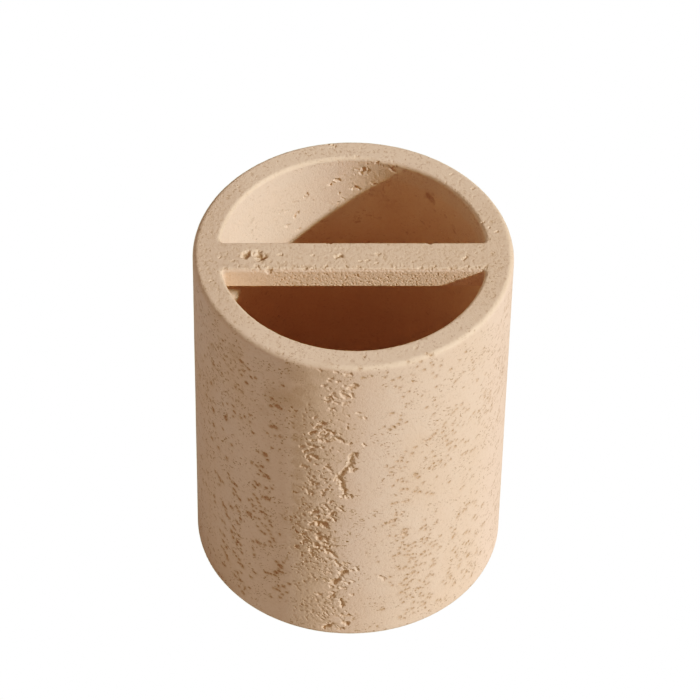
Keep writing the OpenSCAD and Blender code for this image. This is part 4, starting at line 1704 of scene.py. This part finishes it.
disc_cream = (0.82, 0.64, 0.47)
disc_beige = (0.76, 0.56, 0.39)
disc_dot_share = 0.5
disc_stain_share = 0.6
ring_share = 0.5
disc_relief = 0.00005
ground, tree, skin = new_material("travertine_ground")
where = use(tree, bed_place, Dip=0.1)
tone = use(tree, clouds, {"Place": where.outputs["Along Beds"]}, Size=12.0, Flatness=0.6)
sand = use(tree, grain, {"Place": where.outputs["Place"]}, Size=0.6)
dots = use(tree, fine_pores, {"Along Beds": where.outputs["Along Beds"]}, Size=0.8, Threshold=0.58)
colour = tint(tree, tone.outputs["Cloud"], disc_beige, disc_cream)
colour = tint(tree, part_of(tree, dots.outputs["Pores"], disc_dot_share), colour, brown_stain_and_shade)
# Painted shade: the floors of deep pores darken with their depth.
deep_pore_shade = ramp(tree, stored_value(tree, "pore_depth"), low=0.02, high=0.3, to_high=0.5)
colour = tint(tree, deep_pore_shade, colour, pore_shade_tone)
disc_brown = part_of(tree, stored_value(tree, "pore_brown"), disc_stain_share)
colour = tint(tree, disc_brown, colour, brown_stain_and_shade)
tree.links.new(colour, skin.inputs["Base Color"])
matt_grain = ramp(tree, sand.outputs["Grain"], low=0.3, high=0.7, to_low=0.78, to_high=0.92)
tree.links.new(matt_grain, skin.inputs["Roughness"])
skin.inputs["Specular IOR Level"].default_value = 0.3
rings = add(tree, "ShaderNodeTexWave", Scale=0.35, Distortion=1.5, Detail=3.0, Detail_Scale=2.0)
rings.wave_type = "RINGS"
rings.rings_direction = "Z"
tree.links.new(where.outputs["Place"], rings.inputs["Vector"])
height = number(tree, "ADD", part_of(tree, rings.outputs["Fac"], ring_share), sand.outputs["Grain"])
height = number(tree, "SUBTRACT", height, dots.outputs["Pores"])
relief(tree, height, disc_relief, skin)
disc_mesh.materials.clear()
disc_mesh.materials.append(ground)
print("the ground finish has", len(tree.nodes), "nodes")

# %% Tinted adhesive
paste_tone = (0.66, 0.52, 0.38)
dust_tone = (0.80, 0.66, 0.50)
paste_dot_share = 0.4
paste_relief = 0.00003
paste, tree, skin = new_material("stone_paste")
where = use(tree, bed_place, Dip=0.0)
sand = use(tree, grain, {"Place": where.outputs["Place"]}, Size=0.35)
dots = use(tree, fine_pores, {"Along Beds": where.outputs["Along Beds"]}, Size=0.5, Flatness=1.0)
colour = tint(tree, sand.outputs["Crystals"], dust_tone, paste_tone)
colour = tint(tree, part_of(tree, dots.outputs["Pores"], paste_dot_share), colour, brown_stain_and_shade)
tree.links.new(colour, skin.inputs["Base Color"])
matt_grain = ramp(tree, sand.outputs["Grain"], low=0.3, high=0.7, to_low=0.5, to_high=0.62)
tree.links.new(matt_grain, skin.inputs["Roughness"])
height = number(tree, "SUBTRACT", sand.outputs["Grain"], dots.outputs["Pores"])
relief(tree, height, paste_relief, skin)
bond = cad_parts["bond_ring"]
bond.data.materials.clear()
bond.data.materials.append(paste)
print("the paste has", len(tree.nodes), "nodes")

# %% Clear pads
pad_tone = (0.93, 0.94, 0.93, 1)
pad_haze = 0.12
pad_relief = 0.00001
clear, tree, skin = new_material("clear_soft_plastic")
skin.inputs["Base Color"].default_value = pad_tone
skin.inputs["Transmission Weight"].default_value = 1
skin.inputs["IOR"].default_value = 1.41
where = use(tree, bed_place, Dip=0.0)
sand = use(tree, grain, {"Place": where.outputs["Place"]}, Size=0.8)
haze = ramp(tree, sand.outputs["Grain"], low=0.3, high=0.7, to_low=pad_haze, to_high=2 * pad_haze)
tree.links.new(haze, skin.inputs["Roughness"])
relief(tree, sand.outputs["Grain"], pad_relief, skin)
for name in pad_names:
    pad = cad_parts[name]
    pad.data.materials.clear()
    pad.data.materials.append(clear)
print("the pads have", len(tree.nodes), "nodes in their material")
